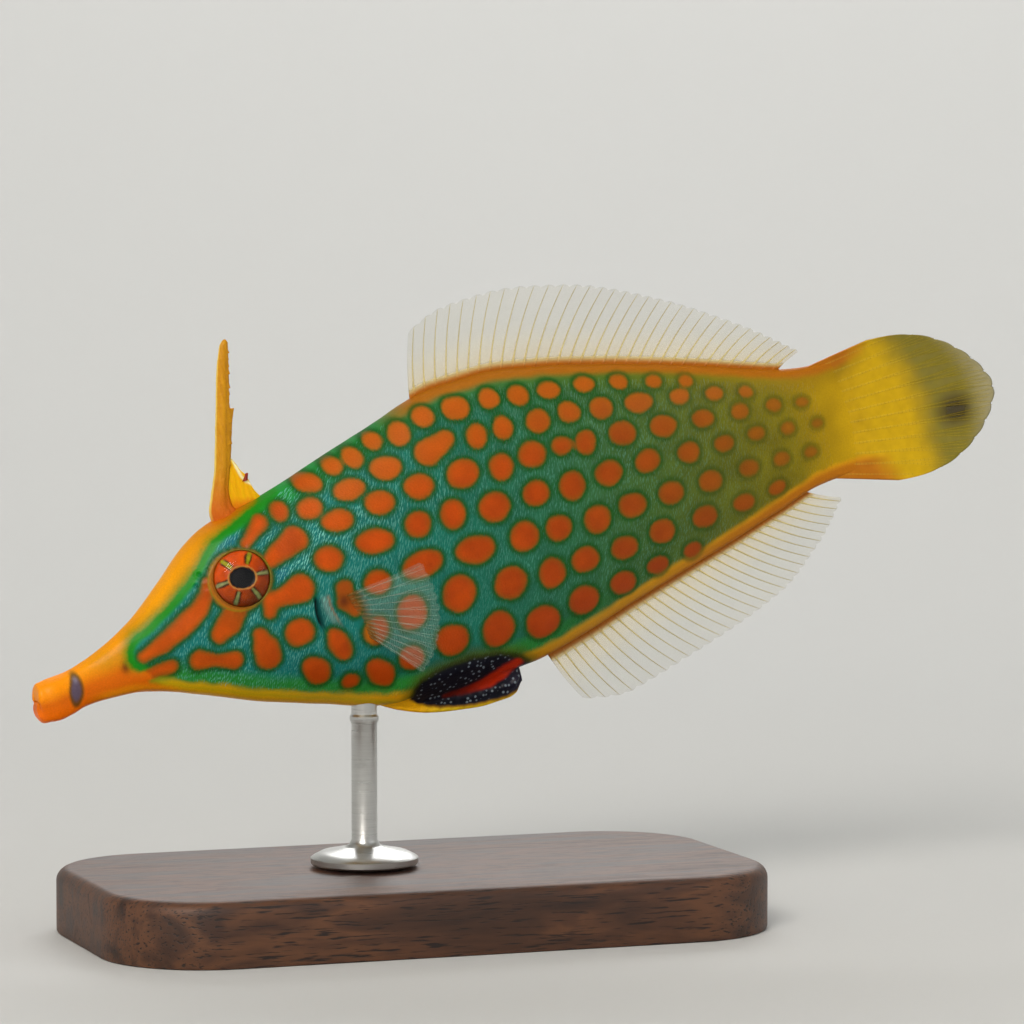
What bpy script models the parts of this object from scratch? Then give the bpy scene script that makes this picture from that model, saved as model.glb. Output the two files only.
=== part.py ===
# Harlequin filefish, a grown one of 99 mm, held head down on a plain display stand.
#
# Fish frame, in millimetres: x runs back from the snout tip along the fish, y to its right side and z to its
# back. placed() turns a point of that frame into the world frame, in metres, where +X is towards the tail,
# +Z is up and the origin is the centre of the stand's underside.

import math

import bmesh
import bpy
from mathutils import Vector

MM = 0.001
GAP = 0.3  # left between pieces that touch

# How the fish is held
HEAD_DOWN = math.radians(15.5)
SNOUT_TIP = Vector((-36.0, 0.0, 23.0))  # world place of the fish frame's origin

# Profile of the body, each station (x, value)
BACK = (
    (-0.5, 0.6), (0.6, 1.2), (1.5, 1.33), (3.0, 1.38), (5.0, 1.8), (8.0, 2.9), (11.0, 4.5), (14.0, 6.7),
    (17.0, 9.05), (20.0, 10.5), (25.0, 11.4), (32.0, 13.3), (38.0, 14.9), (41.0, 15.8), (44.0, 16.3),
    (48.0, 16.3), (54.0, 15.4), (60.0, 13.9), (66.0, 12.1), (70.0, 10.8), (74.0, 9.4), (78.0, 8.1),
    (80.0, 7.7), (81.0, 7.6),
)
BELLY = (
    (-0.5, -2.0), (0.6, -2.62), (1.7, -2.78), (3.0, -2.6), (5.0, -2.25), (8.7, -2.45), (11.0, -3.0),
    (15.0, -4.6), (20.0, -6.8), (26.0, -9.0), (32.0, -10.9), (38.0, -11.5), (46.0, -11.4), (52.0, -10.4),
    (57.5, -9.0), (63.0, -7.7), (69.0, -6.3), (74.5, -4.9), (79.0, -3.8), (81.0, -3.7),
)
HALF_WIDTH = (
    (-0.5, 1.35), (0.6, 1.6), (1.6, 1.75), (2.9, 1.55), (4.6, 1.5), (8.0, 1.8), (12.0, 2.6), (16.0, 3.55),
    (21.0, 4.55), (27.0, 5.15), (35.0, 5.4), (43.0, 5.15), (53.0, 4.4), (63.0, 3.3), (72.0, 2.15),
    (78.0, 1.45), (80.0, 1.15), (81.0, 1.0),
)
KEEL = ((0.0, 0.3), (12.0, 0.4), (20.0, 0.45), (81.0, 0.4))  # half width of the flat along back and belly
LENS = ((0.0, 0.95), (12.0, 1.0), (20.0, 1.2), (32.0, 1.35), (60.0, 1.4), (81.0, 1.2))  # 1 is an ellipse
WIDEST = 0.52  # height of the widest place, as a share of the body's depth
SIDE_STEPS = 14

# Where the body is parted
JAWS_END = 4.3
SNOUT_END = 15.3
HEAD_END = 28.2
TRUNK_END = 69.8
TAIL_STEM_END = 80.0

# Mouth
MOUTH_LINE = ((-0.5, -0.45), (1.5, -0.6), (4.5, -0.95))
UPPER_LIP_TIP = 0.25
LOWER_LIP_TIP = -0.05
LIP_ROUND = 0.55
LIP_TURNS = (30, 55, 78)  # degrees round the lip, from its side to its tip

# Eyes, with their lids
EYE_X = 20.45
EYE_Z = 5.28
EYE_RADIUS = 2.55
EYE_HALF_DEPTH = 1.9
EYE_BULGE = 0.7
LID_RING = 2.95
LID_ROUND = 0.42
NOSTRILS = ((17.0, 6.6), (16.4, 5.7))
NOSTRIL_RADIUS = 0.28
NOSTRIL_DEPTH = 0.6

# Gill opening, a short curved slit in front of the pectoral fin
GILL_TOP = (26.5, 1.5)
GILL_FOOT = (26.2, -2.2)
GILL_BOW = -0.25
GILL_WIDTH = 0.4
GILL_DEPTH = 1.1

# First dorsal spine, over the eyes: (x, z, length along the fish, thickness across)
SPINE = (
    (21.9, 11.55, 3.2, 1.5), (22.25, 13.0, 2.45, 1.35), (22.75, 15.0, 2.0, 1.2), (23.5, 18.0, 1.75, 1.05),
    (24.2, 20.8, 1.45, 0.9), (25.1, 23.8, 1.15, 0.75), (25.75, 25.6, 0.75, 0.55), (25.95, 26.15, 0.35, 0.3),
)
SPINE_SIDES = 10
BARBS = 8
BARB_FIRST_Z = 17.0
BARB_LAST_Z = 25.0
BARB_LENGTH = 0.55
BARB_RADIUS = 0.26

# Web of skin behind the spine, and the small second spine that it holds
WEB_FRONT_TOP = (24.05, 15.4)
WEB_FRONT_FOOT = 23.85
WEB_BACK_TOP = (25.15, 12.3)
WEB_BACK_FOOT = 25.45
WEB_SAG = 0.15
SECOND_SPINE_AT = 0.5

# Soft dorsal and anal fins: (share along the base, value)
DORSAL_BASE = (41.5, 77.8)
DORSAL_RAYS = 33
DORSAL_LENGTH = ((0.0, 6.2), (0.1, 7.3), (0.35, 8.0), (0.6, 7.0), (0.8, 5.2), (1.0, 2.6))
DORSAL_LEAN = ((0.0, 8.0), (0.25, 22.0), (0.5, 36.0), (0.75, 48.0), (1.0, 58.0))  # degrees back from upright
ANAL_BASE = (48.2, 77.6)
ANAL_RAYS = 30
ANAL_LENGTH = ((0.0, 5.6), (0.12, 7.8), (0.35, 8.4), (0.6, 8.4), (0.8, 7.0), (1.0, 3.6))
ANAL_LEAN = ((0.0, 18.0), (0.3, 34.0), (0.7, 47.0), (1.0, 58.0))
FIN_WAVE = 0.8  # sideways swing of the soft fins' free edge
FIN_WAVE_LENGTH = 19.0
FIN_CURL = 0.12  # added to the lean at the free edge
RAY_NOTCH = 0.3  # how far the membrane falls short between two rays
MEMBRANE = 0.25  # half thickness
RAY = 0.17  # added to the half thickness on a ray
EDGE = 0.13  # half thickness at the free edge
SOFT_FIN_ROWS = 5

# Tail fin, a little folded down from the body's own line
TAIL_RAYS = 12
TAIL_MIDDLE = 2.0
TAIL_ROOT_HALF = 5.5
TAIL_TURN = math.radians(-5.5)
TAIL_SPREAD = math.radians(12.5)
TAIL_LENGTH = 19.1
TAIL_ROUNDING = 0.52
TAIL_ROUNDING_POWER = 1.6
TAIL_ROOT_THICK = 0.55
TAIL_ROWS = 7
TAIL_FORK = 0.35  # where each ray splits in two, as a share of its length
TAIL_SWING = 0.5

# Pectoral fins
PECTORAL_TOP = (29.6, 1.2)
PECTORAL_FOOT = (30.6, -3.6)
PECTORAL_RAYS = 12
PECTORAL_LENGTH = 7.4
PECTORAL_UP = 10.0  # degrees above the fish's axis, of the top ray
PECTORAL_DOWN = -52.0
PECTORAL_FLARE = math.radians(20.0)
PECTORAL_BOW = 0.5
PECTORAL_ROOT_THICK = 0.5
PECTORAL_ROWS = 5

# Flap of skin under the belly, spread by the pelvic bone
FLAP_BASE = (32.2, 45.2)
FLAP_EDGE = ((32.2, -11.65), (36.5, -13.15), (40.5, -14.0), (43.0, -14.05), (45.0, -13.4))
FLAP_ROOT_THICK = 0.62
FLAP_EDGE_THICK = 0.22
FLAP_FOLDS = 9
FLAP_FOLD = 0.07
FLAP_ROWS = 5
PELVIC_BONE = 0.28  # how far the bone lifts the skin

# Stand
BASE_LENGTH = 64.0
BASE_DEPTH = 34.0
BASE_HEIGHT = 6.0
BASE_CORNER = 10.0
BASE_BEVEL = 1.2
ROD_RADIUS = 1.2
ROD_AT = 29.6  # where it meets the belly, in the fish frame
ROD_RISE = 1.4  # how far it would reach into the belly before its saddle is cut
FLANGE_RADIUS = 5.0
FLANGE_HEIGHT = 1.6
ROD_NECK = 0.7  # height over which the foot passes into the rod
SADDLE_REACH = 4.0
ROD_SIDES = 24


def along(stations, at):
    """The smooth curve through the stations, each (place, value), read at one place. It never overshoots."""
    at = min(max(at, stations[0][0]), stations[-1][0])
    rises = [(b[1] - a[1]) / (b[0] - a[0]) for a, b in zip(stations, stations[1:])]
    slopes = [rises[0]]
    for before, after in zip(rises, rises[1:]):
        slopes.append(2 * before * after / (before + after) if before * after > 0 else 0.0)
    slopes.append(rises[-1])
    i = next(n for n in range(len(rises)) if at <= stations[n + 1][0])
    (x0, v0), (x1, v1) = stations[i], stations[i + 1]
    step = x1 - x0
    t = (at - x0) / step
    ease = t * t * (3 - 2 * t)
    bend = step * t * (1 - t) * ((1 - t) * slopes[i] - t * slopes[i + 1])
    return v0 + (v1 - v0) * ease + bend


def placed(point):
    """A point of the fish frame, in millimetres, as a world point in metres."""
    turned = Vector((
        point.x * math.cos(HEAD_DOWN) - point.z * math.sin(HEAD_DOWN),
        point.y,
        point.x * math.sin(HEAD_DOWN) + point.z * math.cos(HEAD_DOWN),
    ))
    return (SNOUT_TIP + turned) * MM


def spread(first, last, count):
    """Evenly spaced numbers, both ends included."""
    return [first + (last - first) * i / (count - 1) for i in range(count)]


# Materials
def finish(name, colour, roughness, metallic=0.0):
    material = bpy.data.materials.new(name)
    material.use_nodes = True
    shader = material.node_tree.nodes["Principled BSDF"]
    shader.inputs["Base Color"].default_value = (*colour, 1.0)
    shader.inputs["Roughness"].default_value = roughness
    shader.inputs["Metallic"].default_value = metallic
    return material


def finishes():
    return {
        "snout": finish("orange_skin", (0.90, 0.30, 0.02), 0.45),
        "skin": finish("blue_green_skin", (0.02, 0.27, 0.24), 0.45),
        "eye": finish("eye", (0.55, 0.10, 0.02), 0.12),
        "spine": finish("yellow_spine", (0.80, 0.38, 0.02), 0.4),
        "fin": finish("clear_fin", (0.78, 0.74, 0.55), 0.35),
        "tail_fin": finish("yellow_tail_fin", (0.70, 0.50, 0.04), 0.4),
        "flap": finish("dark_flap", (0.02, 0.02, 0.04), 0.5),
        "wood": finish("dark_wood", (0.10, 0.05, 0.03), 0.5),
        "steel": finish("brushed_steel", (0.60, 0.60, 0.60), 0.3, 1.0),
    }


# Making meshes
def solid(name, points, faces, material=None, smooth_angle=50.0):
    """A closed mesh object from world points, with its faces turned outwards."""
    mesh = bpy.data.meshes.new(name)
    mesh.from_pydata([tuple(p) for p in points], [], faces)
    work = bmesh.new()
    work.from_mesh(mesh)
    bmesh.ops.recalc_face_normals(work, faces=work.faces)
    work.to_mesh(mesh)
    work.free()
    mesh.shade_smooth()
    mesh.set_sharp_from_angle(angle=math.radians(smooth_angle))
    if material:
        mesh.materials.append(material)
    made = bpy.data.objects.new(name, mesh)
    bpy.context.scene.collection.objects.link(made)
    return made


def loft(name, rings, material=None):
    """A closed solid through rings of fish frame points, all of one count, with flat ends."""
    count = len(rings[0])
    points = [placed(p) for ring in rings for p in ring]
    faces = [tuple(range(count)), tuple(range(len(points) - count, len(points)))]
    for r in range(len(rings) - 1):
        for i in range(count):
            j = (i + 1) % count
            faces.append((r * count + i, r * count + j, (r + 1) * count + j, (r + 1) * count + i))
    return solid(name, points, faces, material)


def plate(name, columns, rows, middle, half_thickness, outward, material=None):
    """A thin closed plate on a grid, split into triangles alike on both faces.

    middle, half_thickness and outward each take a column and a row, and give the plate's middle point, half its
    thickness and the way its front faces there.
    """
    front, back = [], []
    for i in range(columns):
        for j in range(rows):
            lift = outward(i, j).normalized() * half_thickness(i, j)
            front.append(middle(i, j) + lift)
            back.append(middle(i, j) - lift)
    points = [placed(p) for p in front + back]
    far = len(front)
    faces = []
    for i in range(columns - 1):
        for j in range(rows - 1):
            a, b = i * rows + j, (i + 1) * rows + j
            for three in ((a, b, b + 1), (a, b + 1, a + 1)):
                faces.append(three)
                faces.append(tuple(far + n for n in reversed(three)))
    edge = [j for j in range(rows)]
    edge += [i * rows + rows - 1 for i in range(1, columns)]
    edge += [(columns - 1) * rows + j for j in range(rows - 2, -1, -1)]
    edge += [i * rows for i in range(columns - 2, 0, -1)]
    for a, b in zip(edge, edge[1:] + edge[:1]):
        faces.append((a, b, far + b))
        faces.append((a, far + b, far + a))
    return solid(name, points, faces, material, smooth_angle=70.0)


def sideways(i, j):
    """The way a plate in the fish's middle plane faces."""
    return Vector((0, 1, 0))


def combined(base, tools, operation):
    """Joins the tools to the base, or cuts them from it, in one Boolean, then removes them."""
    group = bpy.data.collections.new(base.name + "_tools")
    bpy.context.scene.collection.children.link(group)
    for tool in tools:
        group.objects.link(tool)
        bpy.context.scene.collection.objects.unlink(tool)
    boolean = base.modifiers.new(operation.title(), "BOOLEAN")
    boolean.operation = operation
    boolean.operand_type = "COLLECTION"
    boolean.collection = group
    boolean.solver = "EXACT"
    bpy.context.view_layer.update()
    graph = bpy.context.evaluated_depsgraph_get()
    mesh = bpy.data.meshes.new_from_object(base.evaluated_get(graph))
    base.modifiers.clear()
    base.data = mesh
    for tool in tools:
        bpy.data.objects.remove(tool)
    bpy.data.collections.remove(group)
    keep_largest(base)


def keep_largest(made):
    """Drops all but the largest closed surface of a mesh, by its volume."""
    work = bmesh.new()
    work.from_mesh(made.data)
    left = set(work.faces)
    shells = []
    while left:
        shell, edge_of_walk = set(), [left.pop()]
        while edge_of_walk:
            face = edge_of_walk.pop()
            shell.add(face)
            for neighbour in {f for e in face.edges for f in e.link_faces} & left:
                left.discard(neighbour)
                edge_of_walk.append(neighbour)
        shells.append(shell)

    def volume(shell):
        return abs(sum(f.calc_center_median().dot(f.normal) * f.calc_area() for f in shell))

    largest = max(shells, key=volume)
    spare = [f for f in work.faces if f not in largest]
    bmesh.ops.delete(work, geom=spare, context="FACES")
    work.to_mesh(made.data)
    work.free()


# The body's surface
def half_section(x, swell=0.0, low=None, high=None):
    """(y, z) down the right side's outline at x, from its foot to its top, between two heights if they are given."""
    top, foot = along(BACK, x) + swell, along(BELLY, x) - swell
    middle = foot + WIDEST * (top - foot)
    keel, width, lens = along(KEEL, x), along(HALF_WIDTH, x) + swell, along(LENS, x)

    def turn(height, otherwise):
        if height is None:
            return otherwise
        reach = top - middle if height > middle else middle - foot
        return math.asin(max(-1.0, min(1.0, (height - middle) / reach)))

    outline = []
    for angle in spread(turn(low, -math.pi / 2), turn(high, math.pi / 2), SIDE_STEPS + 1):
        reach = top - middle if angle > 0 else middle - foot
        y = keel + (width - keel) * max(0.0, math.cos(angle)) ** lens
        outline.append((y, middle + reach * math.sin(angle)))
    return outline


def ring(x, swell=0.0, low=None, high=None):
    """The body's closed outline at x, or the part of it between two heights."""
    right = half_section(x, swell, low, high)
    left = [(-y, z) for y, z in reversed(right)]
    return [Vector((x, y, z)) for y, z in right + left]


def side_point(x, z, side):
    """The point of the body's surface at x and z, on the right (side 1) or the left (side -1)."""
    top, foot = along(BACK, x), along(BELLY, x)
    middle = foot + WIDEST * (top - foot)
    reach = top - middle if z > middle else middle - foot
    across = math.sqrt(max(0.0, 1 - ((z - middle) / reach) ** 2)) ** along(LENS, x)
    keel = along(KEEL, x)
    return Vector((x, side * (keel + (along(HALF_WIDTH, x) - keel) * across), z))


def side_normal(x, z, side):
    """The way the body's surface faces there."""
    step = 0.4
    forward = side_point(x + step, z, side) - side_point(x - step, z, side)
    upward = side_point(x, z + step, side) - side_point(x, z - step, side)
    normal = forward.cross(upward).normalized()
    return normal if normal.y * side > 0 else -normal


# Flesh
def jaw_ring(x, upper, inset):
    """One jaw's outline at x, drawn in towards its own middle by the inset."""
    line = along(MOUTH_LINE, x)
    points = ring(x, low=line + GAP / 2) if upper else ring(x, high=line - GAP / 2)
    middle = sum(points, Vector()) / len(points)
    return [middle + (p - middle) * max(0.2, 1 - inset / (p - middle).length) for p in points]


def jaw(name, upper, material):
    """One jaw with its rounded lip, parted from the other along the line of the mouth."""
    tip = UPPER_LIP_TIP if upper else LOWER_LIP_TIP
    rings = [jaw_ring(x, upper, 0.0) for x in spread(JAWS_END, tip + LIP_ROUND, 7)]
    for turn in LIP_TURNS:
        reach, inset = math.sin(math.radians(turn)), 1 - math.cos(math.radians(turn))
        rings.append(jaw_ring(tip + LIP_ROUND * (1 - reach), upper, LIP_ROUND * inset))
    return loft(name, rings, material)


def body_length(name, first, last, count, material):
    """One length of the body, between two flat faces across the fish."""
    return loft(name, [ring(x) for x in spread(first, last, count)], material)


def eye_frame(side):
    """The middle of an eyeball, the way it looks, and two ways across it, along the fish and up."""
    looks = side_normal(EYE_X, EYE_Z, side)
    centre = side_point(EYE_X, EYE_Z, side) + looks * (EYE_BULGE - EYE_HALF_DEPTH)
    forward = Vector((1, 0, 0))
    along_fish = (forward - looks * forward.dot(looks)).normalized()
    return centre, looks, along_fish, looks.cross(along_fish)


def eyeball(name, side, material=None, swell=0.0, sides=20, rounds=10):
    """A flattened ball that looks out squarely from the side of the head."""
    centre, looks, across, up = eye_frame(side)
    points, faces = [], []
    for r in range(1, rounds):
        lean = math.pi * r / rounds
        for s in range(sides):
            turn = 2 * math.pi * s / sides
            flat = (EYE_RADIUS + swell) * math.sin(lean)
            points.append(centre + looks * (EYE_HALF_DEPTH + swell) * math.cos(lean)
                          + (across * math.cos(turn) + up * math.sin(turn)) * flat)
    outer, inner = len(points), len(points) + 1
    points += [centre + looks * (EYE_HALF_DEPTH + swell), centre - looks * (EYE_HALF_DEPTH + swell)]
    last = (rounds - 2) * sides
    for s in range(sides):
        t = (s + 1) % sides
        faces += [(outer, s, t), (inner, last + t, last + s)]
        for r in range(rounds - 2):
            faces.append((r * sides + s, (r + 1) * sides + s, (r + 1) * sides + t, r * sides + t))
    return solid(name, [placed(p) for p in points], faces, material)


def lid(name, side, sides=28, round_sides=8):
    """The ring of skin round an eye, lying on the side of the head."""
    centre, looks, across, up = eye_frame(side)
    points, faces = [], []
    for s in range(sides):
        turn = 2 * math.pi * s / sides
        out = across * math.cos(turn) + up * math.sin(turn)
        flat = centre + out * LID_RING
        surface = side_point(flat.x, flat.z, side)
        middle = surface - looks * LID_ROUND * 0.25
        for r in range(round_sides):
            angle = 2 * math.pi * r / round_sides
            points.append(middle + (out * math.cos(angle) + looks * math.sin(angle)) * LID_ROUND)
    for s in range(sides):
        for r in range(round_sides):
            t, q = (s + 1) % sides, (r + 1) % round_sides
            faces.append((s * round_sides + r, t * round_sides + r, t * round_sides + q, s * round_sides + q))
    return solid(name, [placed(p) for p in points], faces)


def pit(name, x, z, side, radius, depth, sides=8):
    """A small plug that cuts a nostril."""
    mouth, out = side_point(x, z, side), side_normal(x, z, side)
    across = Vector((1, 0, 0)).cross(out).normalized()
    up = out.cross(across)
    rings = []
    for height, share in ((depth, 1.2), (0.0, 1.0), (-depth, 0.75)):
        middle = mouth + out * height
        rings.append([
            middle + (across * math.cos(turn) + up * math.sin(turn)) * radius * share
            for turn in (2 * math.pi * s / sides for s in range(sides))
        ])
    return loft(name, rings)


def gill_slit(name, side, steps=7):
    """The curved blade that cuts a gill opening, leaning forwards as it goes in."""
    rings = []
    for share in spread(0.0, 1.0, steps):
        x = GILL_TOP[0] + (GILL_FOOT[0] - GILL_TOP[0]) * share + GILL_BOW * math.sin(math.pi * share)
        z = GILL_TOP[1] + (GILL_FOOT[1] - GILL_TOP[1]) * share
        mouth, out = side_point(x, z, side), side_normal(x, z, side)
        half = GILL_WIDTH / 2 * (0.35 + 0.65 * math.sin(math.pi * share))
        fore = Vector((half, 0, 0))
        inward = mouth - out * GILL_DEPTH - Vector((0.5, 0, 0))
        outward = mouth + out * GILL_DEPTH
        rings.append([outward - fore, outward + fore, inward + fore, inward - fore])
    return loft(name, rings)


def head(skin):
    """The head, with its eye sockets in their ring of lids, two nostrils a side and the gill openings."""
    made = body_length("head", SNOUT_END + GAP, HEAD_END, 14, skin)
    sides = (1, -1)
    combined(made, [lid(f"lid_{side}", side) for side in sides], "UNION")
    cutters = [eyeball(f"socket_{side}", side, swell=GAP) for side in sides]
    for side in sides:
        cutters.append(gill_slit(f"slit_{side}", side))
        for n, (x, z) in enumerate(NOSTRILS):
            cutters.append(pit(f"pit_{side}_{n}", x, z, side, NOSTRIL_RADIUS, NOSTRIL_DEPTH))
    combined(made, cutters, "DIFFERENCE")
    return made


# Dorsal spine and its web
def spine_centre(z):
    """Where the spine's middle line is at a height, and its half length along the fish."""
    heights = [s[1] for s in SPINE]
    middles = tuple(zip(heights, (s[0] for s in SPINE)))
    lengths = tuple(zip(heights, (s[2] for s in SPINE)))
    return along(middles, z), along(lengths, z) / 2


def dorsal_spine(material):
    """The long first spine, stout at its root, with small barbs that point down along its rear edge."""
    rings = []
    for x, z, length, thickness in SPINE:
        outline = []
        for s in range(SPINE_SIDES):
            turn = 2 * math.pi * s / SPINE_SIDES
            px = x + length / 2 * math.cos(turn)
            height = z
            if z == SPINE[0][1]:
                height = along(BACK, px) + GAP
            outline.append(Vector((px, thickness / 2 * math.sin(turn), height)))
        rings.append(outline)
    made = loft("dorsal_spine", rings, material)
    barbs = []
    for n, z in enumerate(spread(BARB_FIRST_Z, BARB_LAST_Z, BARBS)):
        x, half = spine_centre(z)
        size = 1.0 - 0.45 * n / BARBS
        root = Vector((x + half * 0.45, 0, z))
        point = Vector((x + half + BARB_LENGTH * size * 0.75, 0, z - BARB_LENGTH * size))
        barbs.append(thorn(f"barb_{n}", root, point, BARB_RADIUS * size))
    combined(made, barbs, "UNION")
    return made


def thorn(name, root, point, radius, sides=6):
    """A small pointed cone from its sunk root to its point."""
    way = (point - root).normalized()
    across = Vector((0, 1, 0))
    up = way.cross(across).normalized()
    rings = []
    for share, size in ((0.0, 1.0), (0.6, 0.62), (1.0, 0.12)):
        middle = root.lerp(point, share)
        rings.append([
            middle + (across * math.cos(turn) + up * math.sin(turn)) * radius * size
            for turn in (2 * math.pi * s / sides for s in range(sides))
        ])
    return loft(name, rings)


def dorsal_web(material):
    """The web of skin from the spine down to the back, with the small second spine raised in it."""
    columns, rows = 9, 6
    second = round(SECOND_SPINE_AT * (columns - 1))

    def middle(i, j):
        across, up = i / (columns - 1), j / (rows - 1)
        foot_x = WEB_FRONT_FOOT + (WEB_BACK_FOOT - WEB_FRONT_FOOT) * across
        foot = Vector((foot_x, 0, along(BACK, foot_x) + GAP))
        top_x = WEB_FRONT_TOP[0] + (WEB_BACK_TOP[0] - WEB_FRONT_TOP[0]) * across
        top_z = WEB_FRONT_TOP[1] + (WEB_BACK_TOP[1] - WEB_FRONT_TOP[1]) * across
        top = Vector((top_x, 0, top_z - WEB_SAG * math.sin(math.pi * across)))
        at = foot.lerp(top, up)
        if i == 0:
            x, half = spine_centre(at.z)
            at.x = x + half + GAP
        return at

    def half_thickness(i, j):
        if j == rows - 1:
            return EDGE
        return MEMBRANE + (RAY if i == second else 0.0)

    return plate("dorsal_spine_web", columns, rows, middle, half_thickness, sideways, material)


# Soft fins
def soft_fin(name, profile, up, base, rays, lengths, leans, material):
    """A long soft fin, its rays raised in its own surface and its free edge swung in a gentle wave."""
    columns = 2 * rays + 1
    last_row = SOFT_FIN_ROWS - 1

    def middle(i, j):
        share, out = i / (columns - 1), j / last_row
        x = base[0] + (base[1] - base[0]) * share
        lean = math.radians(along(leans, share))
        length = along(lengths, share) - (RAY_NOTCH if i % 2 == 0 and j == last_row else 0.0)
        curl = lean + FIN_CURL * out
        reach = length * out
        y = FIN_WAVE * out ** 1.5 * math.sin(2 * math.pi * (x - base[0]) / FIN_WAVE_LENGTH)
        root_z = along(profile, x) + up * GAP
        return Vector((x + reach * math.sin(curl), y, root_z + up * reach * math.cos(curl)))

    def half_thickness(i, j):
        if j == last_row:
            return EDGE
        return MEMBRANE + (RAY * (1 - 0.5 * j / last_row) if i % 2 else 0.0)

    return plate(name, columns, SOFT_FIN_ROWS, middle, half_thickness, sideways, material)


def tail_fin(material):
    """The rounded tail fin. Each of its rays splits in two on the way to the edge."""
    steps = 4
    columns = steps * TAIL_RAYS + 1
    root_x = TAIL_STEM_END + GAP
    last_row = TAIL_ROWS - 1

    def middle(i, j):
        share, out = 2 * i / (columns - 1) - 1, j / last_row
        notch = RAY_NOTCH if i % 2 == 0 and j == last_row else 0.0
        reach = (TAIL_LENGTH * (1 - TAIL_ROUNDING * abs(share) ** TAIL_ROUNDING_POWER) - notch) * out
        turn = TAIL_TURN + TAIL_SPREAD * share
        y = TAIL_SWING * out ** 2 * math.sin(math.pi * (share + 0.4))
        z = TAIL_MIDDLE + TAIL_ROOT_HALF * share + reach * math.sin(turn)
        return Vector((root_x + reach * math.cos(turn), y, z))

    def half_thickness(i, j):
        if j == last_row:
            return EDGE
        out = j / last_row
        forked = min(1.0, max(0.0, (out - TAIL_FORK * 0.5) / TAIL_FORK))
        place = i % steps
        ray = {0: 0.0, 1: 0.45 + 0.55 * forked, 2: 1.0 - forked, 3: 0.45 + 0.55 * forked}[place]
        root = (TAIL_ROOT_THICK - MEMBRANE) * max(0.0, 1 - 3 * out)
        return MEMBRANE + root + RAY * ray

    return plate("tail_fin", columns, TAIL_ROWS, middle, half_thickness, sideways, material)


def pectoral_fin(name, side, material):
    """A fan of rays from behind the gill opening, held a little out from the body."""
    columns = 2 * PECTORAL_RAYS + 1
    last_row = PECTORAL_ROWS - 1

    def root(i):
        share = i / (columns - 1)
        x = PECTORAL_TOP[0] + (PECTORAL_FOOT[0] - PECTORAL_TOP[0]) * share
        z = PECTORAL_TOP[1] + (PECTORAL_FOOT[1] - PECTORAL_TOP[1]) * share
        out = side_normal(x, z, side)
        return side_point(x, z, side) + out * (GAP + 0.15), out

    def way(i):
        share = i / (columns - 1)
        turn = math.radians(PECTORAL_UP + (PECTORAL_DOWN - PECTORAL_UP) * share)
        flat = Vector((math.cos(turn), 0, math.sin(turn)))
        return flat * math.cos(PECTORAL_FLARE) + Vector((0, side, 0)) * math.sin(PECTORAL_FLARE)

    def middle(i, j):
        share, out = i / (columns - 1), j / last_row
        notch = RAY_NOTCH if i % 2 == 0 and j == last_row else 0.0
        length = PECTORAL_LENGTH * (1 - 0.5 * (share - 0.3) ** 2) - notch
        at, _ = root(i)
        bow = Vector((0, side, 0)) * PECTORAL_BOW * math.sin(math.pi * out)
        return at + way(i) * length * out + bow

    def outward(i, j):
        at, out = root(i)
        across = Vector((math.sin(PECTORAL_FLARE) * -1, side * math.cos(PECTORAL_FLARE), 0))
        return across if j else out.lerp(across, 0.7)

    def half_thickness(i, j):
        if j == last_row:
            return EDGE
        root_swell = (PECTORAL_ROOT_THICK - MEMBRANE) * max(0.0, 1 - 2.5 * j / last_row)
        return MEMBRANE + root_swell + (RAY * 0.8 if i % 2 and j else 0.0)

    return plate(name, columns, PECTORAL_ROWS, middle, half_thickness, outward, material)


def pelvic_flap(material):
    """The flap of skin under the belly, with shallow folds and the pelvic bone raised in it."""
    columns = 2 * FLAP_FOLDS + 1
    last_row = FLAP_ROWS - 1
    bone_row = 2

    def middle(i, j):
        share = i / (columns - 1)
        x = FLAP_BASE[0] + (FLAP_BASE[1] - FLAP_BASE[0]) * share
        top = along(BELLY, x) - GAP
        foot = along(FLAP_EDGE, x)
        return Vector((x - 0.25 * (j / last_row) * share, 0, top + (foot - top) * j / last_row))

    def half_thickness(i, j):
        share = i / (columns - 1)
        plain = FLAP_ROOT_THICK + (FLAP_EDGE_THICK - FLAP_ROOT_THICK) * j / last_row
        fold = FLAP_FOLD * (1 if i % 2 else -1) if 0 < j < last_row else 0.0
        bone = PELVIC_BONE * share if j == bone_row and share > 0.3 else 0.0
        return plain + fold + bone

    return plate("pelvic_flap", columns, FLAP_ROWS, middle, half_thickness, sideways, material)


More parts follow.
